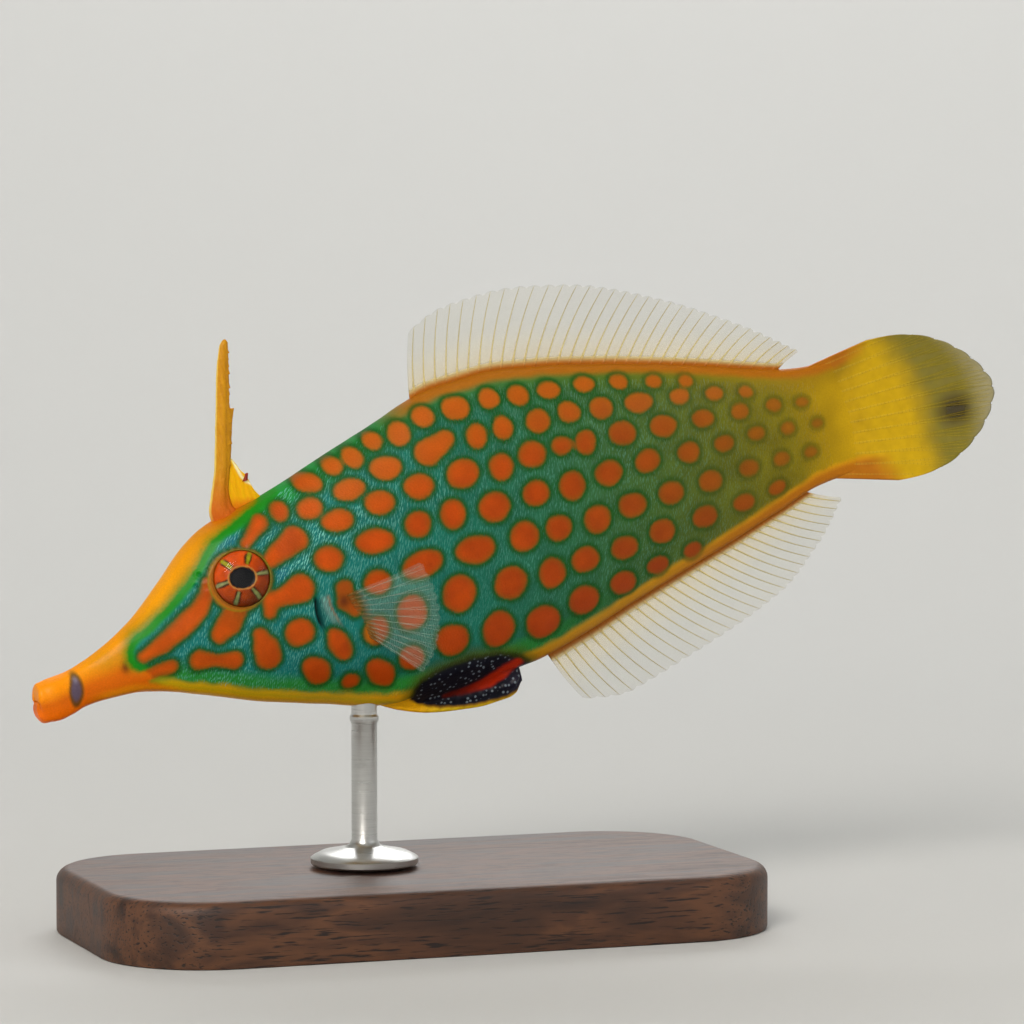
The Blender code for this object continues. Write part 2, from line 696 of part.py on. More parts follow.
# Stand
def stand_base(material):
    """A flat board with round corners and a bevelled upper edge."""
    corners = []
    for cx, cy, first in ((1, 1, 0), (-1, 1, 90), (-1, -1, 180), (1, -1, 270)):
        for turn in range(0, 91, 15):
            angle = math.radians(first + turn)
            x = cx * (BASE_LENGTH / 2 - BASE_CORNER) + BASE_CORNER * math.cos(angle)
            y = cy * (BASE_DEPTH / 2 - BASE_CORNER) + BASE_CORNER * math.sin(angle)
            corners.append(Vector((x, y)))
    levels = ((0.0, 0.0), (BASE_HEIGHT - BASE_BEVEL, 0.0), (BASE_HEIGHT - BASE_BEVEL * 0.3, BASE_BEVEL * 0.3),
              (BASE_HEIGHT, BASE_BEVEL))
    points = []
    for z, inset in levels:
        for p in corners:
            points.append(Vector((p.x - math.copysign(inset, p.x), p.y - math.copysign(inset, p.y), z)) * MM)
    count = len(corners)
    faces = [tuple(range(count)), tuple(range(len(points) - count, len(points)))]
    for r in range(len(levels) - 1):
        for i in range(count):
            j = (i + 1) % count
            faces.append((r * count + i, r * count + j, (r + 1) * count + j, (r + 1) * count + i))
    return solid("stand_base", points, faces, material, smooth_angle=25.0)


def stand_rod(material):
    """The upright rod on its turned foot, cut at the top to a saddle that the belly sits in."""
    meets = placed(Vector((ROD_AT, 0, along(BELLY, ROD_AT)))) / MM
    foot = BASE_HEIGHT + GAP
    profile = (
        (FLANGE_RADIUS, foot), (FLANGE_RADIUS, foot + FLANGE_HEIGHT * 0.4),
        (FLANGE_RADIUS * 0.8, foot + FLANGE_HEIGHT * 0.75), (ROD_RADIUS * 1.5, foot + FLANGE_HEIGHT),
        (ROD_RADIUS, foot + FLANGE_HEIGHT + ROD_NECK), (ROD_RADIUS, meets.z + ROD_RISE),
    )
    points = []
    for radius, z in profile:
        for s in range(ROD_SIDES):
            turn = 2 * math.pi * s / ROD_SIDES
            points.append(Vector((meets.x + radius * math.cos(turn), radius * math.sin(turn), z)) * MM)
    faces = [tuple(range(ROD_SIDES)), tuple(range(len(points) - ROD_SIDES, len(points)))]
    for r in range(len(profile) - 1):
        for s in range(ROD_SIDES):
            t = (s + 1) % ROD_SIDES
            faces.append((r * ROD_SIDES + s, r * ROD_SIDES + t, (r + 1) * ROD_SIDES + t, (r + 1) * ROD_SIDES + s))
    made = solid("stand_rod", points, faces, material, smooth_angle=35.0)
    belly = loft("belly_cutter", [ring(x, swell=GAP) for x in spread(ROD_AT - SADDLE_REACH, ROD_AT + SADDLE_REACH, 9)])
    combined(made, [belly], "DIFFERENCE")
    return made


def main():
    for old in list(bpy.data.objects):
        bpy.data.objects.remove(old)
    use = finishes()
    jaw("upper_jaw", True, use["snout"])
    jaw("lower_jaw", False, use["snout"])
    body_length("snout", JAWS_END + GAP, SNOUT_END, 11, use["snout"])
    head(use["skin"])
    body_length("trunk", HEAD_END + GAP, TRUNK_END, 20, use["skin"])
    body_length("tail_stem", TRUNK_END + GAP, TAIL_STEM_END, 8, use["skin"])
    eyeball("right_eye", 1, use["eye"])
    eyeball("left_eye", -1, use["eye"])
    dorsal_spine(use["spine"])
    dorsal_web(use["spine"])
    soft_fin("soft_dorsal_fin", BACK, 1, DORSAL_BASE, DORSAL_RAYS, DORSAL_LENGTH, DORSAL_LEAN, use["fin"])
    soft_fin("anal_fin", BELLY, -1, ANAL_BASE, ANAL_RAYS, ANAL_LENGTH, ANAL_LEAN, use["fin"])
    tail_fin(use["tail_fin"])
    pectoral_fin("right_pectoral_fin", 1, use["fin"])
    pectoral_fin("left_pectoral_fin", -1, use["fin"])
    pelvic_flap(use["flap"])
    stand_base(use["wood"])
    stand_rod(use["steel"])


main()
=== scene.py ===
# Harlequin filefish, a grown one of 99 mm, held head down on a plain display stand: its looks.
#
# Fish frame, in millimetres: x runs back from the snout tip along the fish, y to its right side and z to
# its back. placed() turns points of that frame into the world frame, in metres, where +X is towards the
# tail, +Z is up and the origin is the centre of the stand's underside.

import math

import bpy
import numpy as np
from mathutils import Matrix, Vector, noise


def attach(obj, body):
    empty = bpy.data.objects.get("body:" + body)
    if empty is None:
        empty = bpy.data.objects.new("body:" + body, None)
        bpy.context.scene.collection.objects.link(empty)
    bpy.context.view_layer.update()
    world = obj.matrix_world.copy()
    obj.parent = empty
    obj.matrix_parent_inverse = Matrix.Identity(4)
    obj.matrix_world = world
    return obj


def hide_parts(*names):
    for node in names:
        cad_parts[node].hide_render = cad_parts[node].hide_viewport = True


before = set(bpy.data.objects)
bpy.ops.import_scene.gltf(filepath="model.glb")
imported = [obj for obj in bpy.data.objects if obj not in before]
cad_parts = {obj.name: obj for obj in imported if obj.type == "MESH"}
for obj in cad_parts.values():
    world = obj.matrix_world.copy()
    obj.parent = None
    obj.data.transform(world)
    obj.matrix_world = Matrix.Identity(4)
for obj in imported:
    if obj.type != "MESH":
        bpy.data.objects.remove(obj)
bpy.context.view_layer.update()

MM = 0.001
COAT = 0.05  # the skin lies this far inside the solid, by the height of its prickles
SEED = 7

# How the fish is held
HEAD_DOWN = math.radians(15.5)
SNOUT_TIP = np.array((-36.0, 0.0, 23.0))  # world place of the fish frame's origin

# Profile of the body, each station (x, value)
BACK = (
    (-0.5, 0.6), (0.6, 1.2), (1.5, 1.33), (3.0, 1.38), (5.0, 1.8), (8.0, 2.9), (11.0, 4.5), (14.0, 6.7),
    (17.0, 9.05), (20.0, 10.5), (25.0, 11.4), (32.0, 13.3), (38.0, 14.9), (41.0, 15.8), (44.0, 16.3),
    (48.0, 16.3), (54.0, 15.4), (60.0, 13.9), (66.0, 12.1), (70.0, 10.8), (74.0, 9.4), (78.0, 8.1),
    (80.0, 7.7), (81.0, 7.6), (84.0, 7.6),
)
BELLY = (
    (-0.5, -2.0), (0.6, -2.62), (1.7, -2.78), (3.0, -2.6), (4.2, -2.3), (5.5, -2.25), (8.7, -2.45),
    (11.0, -3.0), (15.0, -4.6), (20.0, -6.8), (26.0, -9.0), (32.0, -10.9), (38.0, -11.5), (46.0, -11.4),
    (52.0, -10.4), (57.5, -9.0), (63.0, -7.7), (69.0, -6.3), (74.5, -4.9), (79.0, -3.8), (81.0, -3.7),
    (84.0, -3.7),
)
HALF_WIDTH = (
    (-0.5, 1.35), (0.6, 1.6), (1.6, 1.75), (2.9, 1.55), (4.6, 1.5), (8.0, 1.8), (12.0, 2.6), (16.0, 3.55),
    (21.0, 4.55), (27.0, 5.15), (35.0, 5.4), (43.0, 5.15), (53.0, 4.4), (63.0, 3.3), (72.0, 2.15),
    (78.0, 1.45), (80.0, 1.15), (81.5, 0.86), (82.8, 0.56), (83.6, 0.37),
)
KEEL = ((0.0, 0.3), (12.0, 0.4), (20.0, 0.45), (79.0, 0.4), (82.8, 0.32), (83.6, 0.2))
LENS = ((0.0, 0.95), (12.0, 1.0), (20.0, 1.2), (32.0, 1.35), (60.0, 1.4), (81.0, 1.2))  # 1 is an ellipse
WIDEST = 0.52  # height of the widest place, as a share of the body's depth
KEEL_ROUND = 0.4  # height over which back and belly round over
SKIN_END = 83.6  # the skin runs out over the root of the tail fin

# Skin mesh: the spacing of its rings at places along the fish
RING_SPACING = (
    (0.0, 0.09), (4.5, 0.16), (8.0, 0.19), (15.5, 0.16), (17.0, 0.11), (24.0, 0.11), (25.6, 0.08),
    (27.2, 0.08), (28.5, 0.16), (33.0, 0.26), (38.0, 0.43), (80.0, 0.46), (84.0, 0.3),
)
SKIN_COLUMNS = 240

# Mouth
LIP_FROM = 0.75  # x where the lips begin to roll inwards
LIP_ROWS = 16
LIP_REACH = (0.68, 1.24, 0.84)  # of the upper lip, the lower lip and the corners
LIP_ROLL = 0.6 * math.pi  # how far the lips roll round before they meet
MOUTH_SHARE = 0.6  # half width of the slit, as a share of the snout's
MOUTH_HEIGHT = -0.5
MOUTH_DEPTH = 0.5

# Eyes, with their lids
EYE_X = 20.45
EYE_Z = 5.28
EYE_RADIUS = 2.74
EYE_HALF_DEPTH = 1.9
EYE_BULGE = 0.7
EYE_FULLNESS = 3.0  # 2 is an ellipse, more is fuller towards the rim
LID_RING = 2.62
LID_WIDTH = 0.09
LID_HEIGHT = 0.07
SOCKET_DEPTH = 0.95
FOLD_FROM = 2.56  # the fold of skin in front of the lid, from its rear side
FOLD_REACH = 0.42
NOSTRILS = ((17.0, 6.6), (16.4, 5.7))

# Gill opening, a short curved slit in front of the pectoral fin
GILL_TOP = (26.42, 1.65)
GILL_FOOT = (26.6, -1.9)
GILL_BOW = -0.25

# Soft swells and hollows of the body: (x, z, half length, half height, rise)
RELIEF = (
    (20.4, 9.1, 3.4, 0.8, 0.12), (20.6, 0.6, 3.6, 1.6, -0.1), (14.6, 3.4, 3.2, 1.0, -0.12),
    (24.4, 5.6, 0.9, 2.2, -0.06), (30.6, 4.6, 2.6, 2.4, 0.08), (30.2, -1.2, 0.8, 2.5, 0.26),
    (28.3, -1.0, 0.7, 2.4, -0.1), (38.0, -9.4, 6.5, 0.7, 0.14), (5.8, 0.2, 1.2, 1.0, -0.05),
    (60.0, 2.3, 16.0, 0.5, 0.05), (34.0, -8.4, 7.0, 1.0, -0.07),
)

# First dorsal spine, over the eyes: (x, z, length along the fish, thickness across)
SPINE = (
    (21.7, 9.4, 2.9, 1.8), (21.5, 10.6, 2.7, 1.7), (21.36, 11.4, 2.3, 1.55), (21.62, 12.6, 1.78, 1.4),
    (22.05, 13.8, 1.6, 1.28), (22.55, 15.1, 1.54, 1.2), (23.15, 17.2, 1.46, 1.1),
    (23.72, 19.2, 1.36, 1.0), (24.5, 21.9, 1.3, 0.9), (25.13, 24.1, 1.12, 0.75), (25.5, 25.2, 0.92, 0.6),
    (25.85, 26.15, 0.72, 0.45),
)
SPINE_ROWS = 260
SPINE_COLUMNS = 56
FLANGE = ((15.0, 0.0), (16.8, 0.16), (18.6, 0.3), (19.82, 0.5))  # the ridge at its rear ends in a step
BARB_PITCH = 0.62
BARB_HEIGHTS = (14.0, 25.4)
BARB_LENGTH = 0.17

# Web of skin behind the spine, with the small second spine in it. Its upper edge is (share, x, z) and its
# pale streak (x, z, half width).
WEB_TOP = (
    (0.0, 23.2, 16.0), (0.25, 23.75, 15.1), (0.45, 24.1, 14.2), (0.6, 24.4, 13.75), (0.72, 24.62, 13.1),
    (0.86, 24.85, 12.15), (1.0, 25.3, 11.3),
)
WEB_FOOT = (22.1, 25.3)
WEB_STREAK = (
    (23.6, 15.3, 0.1), (23.75, 14.6, 0.16), (24.0, 13.6, 0.16), (24.3, 13.1, 0.16), (24.8, 12.6, 0.12),
)
WEB_TUCK = 0.6  # how far its front edge lies inside the spine
WEB_HALF = 0.13
SECOND_SPINE = ((24.2, 13.1), (24.6, 13.8))
SECOND_SPINE_RADIUS = 0.27

# Soft dorsal and anal fins. Lengths and leans are (share along the base, value), leans in degrees back
DORSAL_BASE = (41.5, 77.8)
DORSAL_RAYS = 33
DORSAL_LENGTH = ((0.0, 6.2), (0.1, 7.3), (0.35, 8.0), (0.6, 7.0), (0.8, 5.2), (1.0, 2.6))
DORSAL_LEAN = ((0.0, 8.0), (0.25, 22.0), (0.5, 36.0), (0.75, 48.0), (1.0, 58.0))
ANAL_BASE = (48.2, 77.6)
ANAL_RAYS = 30
ANAL_LENGTH = ((0.0, 5.6), (0.12, 7.8), (0.35, 8.4), (0.6, 8.4), (0.8, 7.0), (1.0, 3.6))
ANAL_LEAN = ((0.0, 18.0), (0.3, 34.0), (0.7, 47.0), (1.0, 58.0))
FIN_WAVE = 0.8  # sideways swing of the soft fins' free edge
FIN_WAVE_LENGTH = 19.0
FIN_CURL = 0.12  # how much further a ray leans at its tip, in radians
RAY_NOTCH = 0.25  # how far the membrane falls short between two rays
FIN_ROOT = 0.7  # how deep the fins are set in the skin
FIN_ROWS = 44
FIN_RAY_STEPS = 26
# The membrane's half thickness, what the root adds, the reach where that is full and where it ends
SOFT_FILM = (0.05, 0.075, 0.0, 1.5)

# Tail fin, a little folded down from the body's own line
TAIL_ROOT_X = 80.3
TAIL_RAYS = 12
TAIL_MIDDLE = 2.0
TAIL_ROOT_HALF = 5.5
TAIL_TURN = math.radians(-5.5)
TAIL_SPREAD = math.radians(12.5)
TAIL_LENGTH = 19.1
TAIL_ROUNDING = (0.5, 1.6, 0.14, 9.0)  # two shares cut off towards the edges, each with its power
TAIL_YELLOW = ((-7.0, 90.2), (-4.8, 90.9), (0.2, 91.4), (6.1, 89.9), (8.5, 88.6))  # where it ends: (z, x)
TAIL_FILM = (0.08, 0.27, 2.6, 11.0)
TAIL_WAVE = 0.5  # sideways swing of its edge
TAIL_SPOT = (94.6, -0.8, 2.0, 1.7)  # x, z, half length, half height
# Where a ray splits, as shares of its length: the fork, how far the branches part, where they start inside
# the stem and where the stem ends
TAIL_FORKS = ((0.4, 0.42, 0.38, 0.47), (0.66, 0.45, 0.64, 0.72))

# Pectoral fins
PECTORAL_TOP = (29.6, 1.2)
PECTORAL_FOOT = (30.6, -3.6)
PECTORAL_RAYS = 12
PECTORAL_LENGTH = 7.4
PECTORAL_UP = 10.0  # degrees above the fish's axis, of the top ray
PECTORAL_DOWN = -52.0
PECTORAL_FLARE = math.radians(20.0)
PECTORAL_FORK = (0.45, 0.4, 0.43, 0.52)  # as in the tail fin
PECTORAL_BOW = 0.5  # how far the fan bends outwards at half its length

# Flap of skin under the belly, spread by the pelvic bone
FLAP_BASE = (30.8, 45.2)
FLAP_EDGE = (
    (30.8, -10.5), (32.7, -11.65), (35.5, -12.8), (38.4, -13.45), (41.4, -13.85), (43.4, -13.85),
    (45.2, -13.2),
)
FLAP_FILLET = 0.6  # how soon the flap's thickness passes into the belly's flanks
FLAP_EDGE_HALF = 0.16
FLAP_END_FADE = 1.3  # how far the flanks give way at its two ends
FLAP_PLEATS = 13
PELVIC_LIFT = 0.2  # the pelvic bone's rise under the flap's skin
FLAP_STREAK = (
    (37.2, -11.6, 0.22), (39.8, -11.8, 0.42), (41.9, -11.6, 0.68), (43.5, -11.1, 0.74),
    (44.9, -10.5, 0.5),
)

# Stand
BASE_LENGTH = 64.0
BASE_DEPTH = 34.0
BASE_HEIGHT = 6.0
BASE_CORNER = 10.0
BASE_BEVEL = 1.2
BASE_FOOT_BEVEL = 0.3
ROD_RADIUS = 1.2
ROD_AT = 29.6  # where it meets the belly, in the fish frame
FLANGE_RADIUS = 5.0
FLANGE_HEIGHT = 1.6
TOUCH_GAP = 0.3

# Spots of the left side and, mirrored, of the right: (x, z, length, height, tilt in degrees)
SPOTS = (
    # forehead and nape
    (25.9, 9.9, 1.9, 1.6, 55), (29.4, 11.5, 2.5, 1.8, -10), (32.1, 12.3, 1.7, 1.6, 0),
    (34.1, 12.5, 1.8, 1.8, 0), (36.4, 13.4, 1.7, 1.6, 0), (28.5, 9.4, 2.4, 1.8, 5),
    (30.5, 7.7, 3.0, 2.0, -5), (32.6, 10.0, 2.9, 1.9, 0), (36.5, 10.9, 2.9, 2.1, -5),
    (34.8, 8.1, 2.8, 2.2, -5), (28.6, 4.7, 2.8, 2.3, -10), (33.2, 5.0, 3.7, 2.3, -10),
    # along the back
    (38.9, 13.4, 2.3, 2.0, 60), (41.6, 14.2, 2.0, 1.9, 0), (44.8, 14.1, 2.7, 2.1, 0),
    (48.2, 14.0, 2.0, 1.9, 0), (51.0, 13.5, 2.0, 1.9, 0), (54.1, 13.1, 2.3, 1.6, -10),
    (57.7, 12.6, 2.1, 1.5, -12), (61.2, 11.8, 1.9, 1.4, -12), (64.6, 10.8, 1.7, 1.3, -14),
    (67.8, 9.9, 1.5, 1.2, -14),
    # second row
    (45.7, 11.2, 2.4, 2.0, 70), (48.4, 11.2, 2.2, 2.0, 70), (51.9, 10.8, 2.5, 2.2, 0),
    (55.2, 10.7, 2.3, 2.0, 0), (58.5, 10.1, 2.4, 2.1, 0), (62.3, 9.5, 2.9, 1.9, -10),
    (66.6, 8.8, 2.1, 1.6, -12), (70.2, 8.0, 1.9, 1.4, -14), (73.4, 7.2, 1.6, 1.2, -14),
    # third row
    (38.8, 8.5, 2.9, 2.3, 0), (43.2, 8.4, 3.2, 2.7, 5), (47.0, 7.9, 2.6, 2.4, 60),
    (50.3, 8.1, 2.8, 2.5, 0), (53.4, 8.0, 2.1, 1.8, 0), (55.8, 7.6, 2.4, 2.1, 60),
    (59.7, 7.3, 2.9, 2.3, -10), (64.0, 6.7, 2.8, 2.1, -10), (68.2, 6.2, 2.4, 1.8, -10),
    (72.2, 5.7, 2.0, 1.5, -12), (75.8, 5.2, 1.7, 1.3, -12), (78.8, 4.6, 1.4, 1.0, -12),
    # fourth row
    (37.6, 5.3, 2.6, 2.4, 0), (41.1, 5.2, 2.8, 2.6, 70), (45.2, 4.6, 3.1, 2.9, 0),
    (49.5, 4.6, 2.8, 2.4, 0), (53.3, 4.2, 2.8, 2.7, 70), (57.2, 4.2, 2.9, 2.4, 0),
    (61.4, 4.1, 2.7, 2.2, 0), (65.8, 3.6, 2.4, 2.0, -10), (69.6, 3.3, 2.2, 1.7, -10),
    (73.2, 3.2, 1.9, 1.5, -10), (76.6, 2.7, 1.6, 1.3, -10), (79.8, 2.2, 1.3, 1.0, -10),
    # fifth row, along the middle of the side
    (37.0, 1.6, 4.2, 2.5, 5), (42.3, 1.4, 4.0, 2.7, -8), (47.3, 1.1, 3.0, 2.9, 0),
    (50.9, 0.8, 2.7, 2.5, 0), (55.0, 0.4, 2.8, 2.7, 0), (58.8, 0.6, 3.0, 2.4, -10),
    (63.0, 0.5, 2.8, 2.3, -10), (67.3, 0.3, 2.6, 2.1, -10), (71.6, 0.3, 2.2, 1.7, -10),
    (75.2, 0.1, 1.8, 1.4, -10), (78.4, -0.2, 1.5, 1.1, -8),
    # sixth row
    (34.9, -2.4, 3.4, 3.0, 80), (39.8, -2.1, 3.5, 3.4, 75), (45.0, -2.7, 3.4, 3.1, -10),
    (49.3, -3.1, 3.0, 2.8, 80), (52.9, -2.9, 2.9, 2.5, -10), (57.1, -3.1, 2.9, 2.3, -10),
    (61.3, -2.8, 2.8, 2.3, -10), (66.0, -2.8, 2.8, 2.2, -8), (70.4, -2.8, 2.4, 1.8, -5),
    (74.1, -2.5, 1.9, 1.4, 5),
    # cheek and throat
    (24.2, -1.0, 2.8, 2.6, -15), (25.1, -5.0, 3.1, 2.3, -55), (28.1, -7.0, 1.7, 1.5, -20),
    (27.6, -3.2, 3.5, 2.0, -70), (31.0, -7.1, 3.4, 2.3, -50), (34.1, -6.6, 2.6, 2.4, -20),
    (32.4, 1.3, 2.7, 2.3, -15), (31.2, -3.0, 2.7, 2.6, 80),
    # above the belly
    (38.3, -6.2, 3.4, 3.0, -20), (43.0, -6.6, 3.5, 3.3, 80), (47.6, -7.4, 3.6, 3.2, -15),
    (52.1, -6.7, 3.3, 2.8, -15), (56.4, -6.4, 2.8, 2.3, -12), (60.3, -5.9, 2.4, 1.9, -10),
    (64.2, -5.6, 2.0, 1.5, 5),
)

# Longer orange marks, each a chain of (x, z, half width)
BANDS = (
    ((9.4, -1.0, 0.62), (10.9, -0.85, 0.6), (12.35, -0.75, 0.68)),
    ((10.2, 0.8, 0.56), (11.9, 1.4, 0.8), (14.0, 2.35, 0.92), (15.9, 3.5, 0.86), (17.0, 4.7, 0.6),
     (17.5, 5.8, 0.45)),
    ((14.9, -0.9, 0.95), (16.4, -1.35, 0.62), (17.9, -1.8, 0.88)),
    ((20.7, -0.2, 0.75), (20.9, -1.4, 1.15), (21.0, -2.4, 1.2)),
    ((17.2, 0.9, 0.85), (18.1, 1.5, 1.05), (19.1, 2.6, 1.0)),
    ((25.3, 2.9, 1.35), (23.6, 2.6, 0.9), (22.4, 2.5, 0.8)), ((22.4, 2.6, 0.8), (22.1, 1.6, 0.6)),
    ((23.9, 9.5, 0.68), (22.9, 8.9, 0.55), (21.9, 8.1, 0.5)),
    ((26.2, 7.25, 1.2), (24.9, 6.7, 1.0), (23.5, 6.1, 0.75)), ((40.7, 11.1, 1.2), (42.8, 11.8, 0.8)),
    ((29.2, 1.7, 0.8), (29.1, 0.6, 0.9), (29.6, -0.5, 0.6)),
)

# Edge of the orange snout, from the dorsal spine's root down round the cheek's wedge and under the throat
SNOUT_EDGE = (
    (26.0, 11.9), (24.8, 11.35), (24.0, 11.0), (22.8, 10.55), (21.4, 10.0), (20.2, 9.7), (19.1, 9.25),
    (18.2, 8.5), (17.0, 7.35), (14.6, 5.4), (12.9, 4.3), (11.4, 3.5), (10.1, 3.0), (9.3, 2.4), (8.8, 1.7),
    (8.7, 0.8), (9.0, 0.0), (9.7, -0.5), (10.1, -1.0), (10.3, -1.6), (11.6, -2.35), (14.5, -3.75),
    (19.0, -5.75), (24.0, -7.65), (28.0, -9.15), (31.0, -10.4), (33.0, -11.3), (33.0, -14.0),
    (-3.0, -14.0), (-3.0, 9.0), (12.0, 15.0), (26.0, 15.0),
)

# Blue-black patch over the pelvic bone, on the trunk and down over the flap
PATCH_EDGE = (
    (33.8, -10.9), (34.2, -10.0), (34.9, -9.3), (36.7, -8.8), (39.8, -8.65), (42.8, -9.2), (44.9, -10.2),
    (45.8, -11.2), (45.4, -12.6), (44.5, -13.3), (43.2, -13.5), (41.0, -13.45), (38.4, -12.95),
    (35.9, -12.15), (34.5, -11.5),
)

# Ground colour along the side, from the snout to the tail: (x, colour)
GROUND = (
    (8.0, "#127672"), (22.0, "#11726E"), (32.0, "#126E66"), (42.0, "#186A56"), (52.0, "#286440"),
    (61.0, "#426228"), (70.0, "#626616"), (77.0, "#80720C"), (81.0, "#AC8A06"), (83.6, "#C49C06"),
)
SPOT_ORANGE = (
    (8.0, "#C05000"), (24.0, "#BA4800"), (36.0, "#B44200"), (50.0, "#A63E00"), (60.0, "#9A4204"),
    (70.0, "#924C06"), (80.0, "#966008"),
)
BACK_GREEN = (
    (22.0, "#1C9424"), (30.0, "#1E882E"), (42.0, "#2A7034"), (60.0, "#52701E"), (80.0, "#987808"),
)
BELLY_YELLOW = "#EEAC0C"
BELLY_GREEN = "#2C8C22"
FIN_BASE_ORANGE = "#AE6206"
ANAL_BASE_YELLOW = "#C08408"
GREEN_RIM = "#12500E"

# Camera at the photo's viewing angle
CAMERA_AIM = (9.83, 0.0, 38.65)
CAMERA_AZIMUTH = math.radians(-20.0)
CAMERA_ELEVATION = math.radians(4.0)
CAMERA_DISTANCE = 450.0
SENSOR = 36.0
HALF_VIEW = 0.106146  # tangent of half the angle of view
LAMPS_AIM = (0.01, 0.0, 0.039)

# Paper round the stand, in metres
PAPER_FLAT = 0.22  # radius of its flat middle
PAPER_RADIUS = 1.1
PAPER_HEIGHT = 0.8

# Settings that several shader nodes share
COLOURS = {"data_type": "RGBA"}
MULTIPLIED = {"data_type": "RGBA", "blend_type": "MULTIPLY", 0: 1.0}
SOFT_STEP = {"interpolation_type": "SMOOTHSTEP"}


# Curves and places
def curve(stations, at):
    """The smooth curve through the stations, each (place, value), read at many places, with no overshoot."""
    places, values = np.array(stations, float).T
    rises = np.diff(values) / np.diff(places)
    before, after = rises[:-1], rises[1:]
    same_way = before * after > 0
    total = np.where(same_way, before + after, 1.0)
    inner = np.where(same_way, 2 * before * after / total, 0.0)
    slopes = np.concatenate((rises[:1], inner, rises[-1:]))
    at = np.clip(np.asarray(at, float), places[0], places[-1])
    i = np.clip(np.searchsorted(places, at) - 1, 0, len(rises) - 1)
    step = places[i + 1] - places[i]
    t = (at - places[i]) / step
    ease = t * t * (3 - 2 * t)
    bend = step * t * (1 - t) * ((1 - t) * slopes[i] - t * slopes[i + 1])
    return values[i] + (values[i + 1] - values[i]) * ease + bend


def eased(low, high, values):
    """0 below low, 1 above high, with a soft step between; low may be the greater."""
    t = np.clip((np.asarray(values, float) - low) / (high - low), 0, 1)
    return t * t * (3 - 2 * t)


def mound(distance, width):
    """1 at no distance, falling off like a bell of that half width."""
    return np.exp(-(distance / width) ** 2)


def blot(x, z, at_x, at_z, length, height):
    """A soft oval patch on the side: 1 at its middle, falling off over its half length and half height."""
    return mound(np.hypot((x - at_x) / length, (z - at_z) / height), 1.0)


def between(first, last, share):
    """The value at a share of the way from the first to the last."""
    return first + (last - first) * share


def rolled(around):
    """A place round a rolled sheet as its share out from the root and the side that it is on."""
    return 1 - np.abs(around * 2 - 1), np.where(around < 0.5, 1.0, -1.0)


def placed(points):
    """Fish frame points, in millimetres, as world points in metres."""
    x, y, z = np.moveaxis(np.asarray(points, float), -1, 0)
    turned = (
        x * math.cos(HEAD_DOWN) - z * math.sin(HEAD_DOWN),
        y,
        x * math.sin(HEAD_DOWN) + z * math.cos(HEAD_DOWN),
    )
    return (SNOUT_TIP + np.stack(turned, axis=-1)) * MM


def pinched(share, out, columns, rows):
    """1 over a sheet and nothing along its four edges, where its two faces then meet."""
    free = np.sqrt(np.clip(np.minimum((1 - out) * rows / 2, out * rows), 0, 1))
    return free * np.clip(np.minimum(share, 1 - share) * columns, 0, 1)


def unit(vectors):
    return vectors / np.maximum(np.linalg.norm(vectors, axis=-1, keepdims=True), 1e-9)


def smooth_noise(points, size, seed=0):
    """Soft noise from -1 to 1 whose lumps are about the given size, read at many points."""
    shift = Vector((seed * 17.3, seed * 5.1, seed * 9.7))
    return np.array([noise.noise(Vector(p) / size + shift) for p in points])


# Colours and materials
def linear(code):
    """An sRGB hex colour as linear values."""
    shares = np.array([int(code[i:i + 2], 16) / 255 for i in (1, 3, 5)])
    return np.where(shares <= 0.04045, shares / 12.92, ((shares + 0.055) / 1.055) ** 2.4)


def tint(code):
    """A hex colour as a shader takes it, with full opacity."""
    return (*linear(code), 1.0)


def painted(base, *layers):
    """A base colour under layers of (colour, share that shows), point by point; a colour may be a code."""
    made = linear(base) if isinstance(base, str) else base
    for colour, share in layers:
        over = linear(colour) if isinstance(colour, str) else colour
        made = made + (over - made) * np.asarray(share)[..., None]
    return made


def colours_along(stations, at):
    """Colours read along a row of (place, colour)."""
    places = [s[0] for s in stations]
    codes = np.array([linear(s[1]) for s in stations])
    return np.stack([np.interp(at, places, codes[:, n]) for n in range(3)], axis=-1)


def material(name):
    """A new material, with its node tree and its shader."""
    made = bpy.data.materials.new(name)
    made.use_nodes = True
    return made, made.node_tree, made.node_tree.nodes["Principled BSDF"]


def fitted(tree, node, settings, links):
    """Gives a node its settings and links, each named by a property or a socket, or by a socket's number.

    A link comes from a socket, or from the first output that a node has in use.
    """
    for name, value in settings.items():
        if isinstance(name, str) and hasattr(node, name):
            setattr(node, name, value)
        else:
            node.inputs[name].default_value = value
    for name, source in links.items():
        socket = next(s for s in source.outputs if s.enabled) if hasattr(source, "outputs") else source
        tree.links.new(socket, node.inputs[name])


def add(tree, kind, settings, links=None):
    """Adds a shader node of a kind, with its settings and links."""
    node = tree.nodes.new("ShaderNode" + kind)
    fitted(tree, node, settings, links or {})
    return node


def surfaced(tree, shader, colour, height, bump, values, rough=None, invert=False):
    """Gives a shader its colour, a relief (strength, depth in metres) from a height and its other values."""
    settings = {"Strength": bump[0], "Distance": bump[1], "invert": invert}
    links = {"Base Color": colour, "Normal": add(tree, "Bump", settings, {"Height": height})}
    if rough:
        links["Roughness"] = rough
    fitted(tree, shader, values, links)


def ramp_stops(node, stops):
    """Gives a colour ramp its stops, each (place, colour)."""
    elements = node.color_ramp.elements
    while len(elements) < len(stops):
        elements.new(1.0)
    for element, (place, colour) in zip(elements, stops):
        element.position = place
        element.color = colour


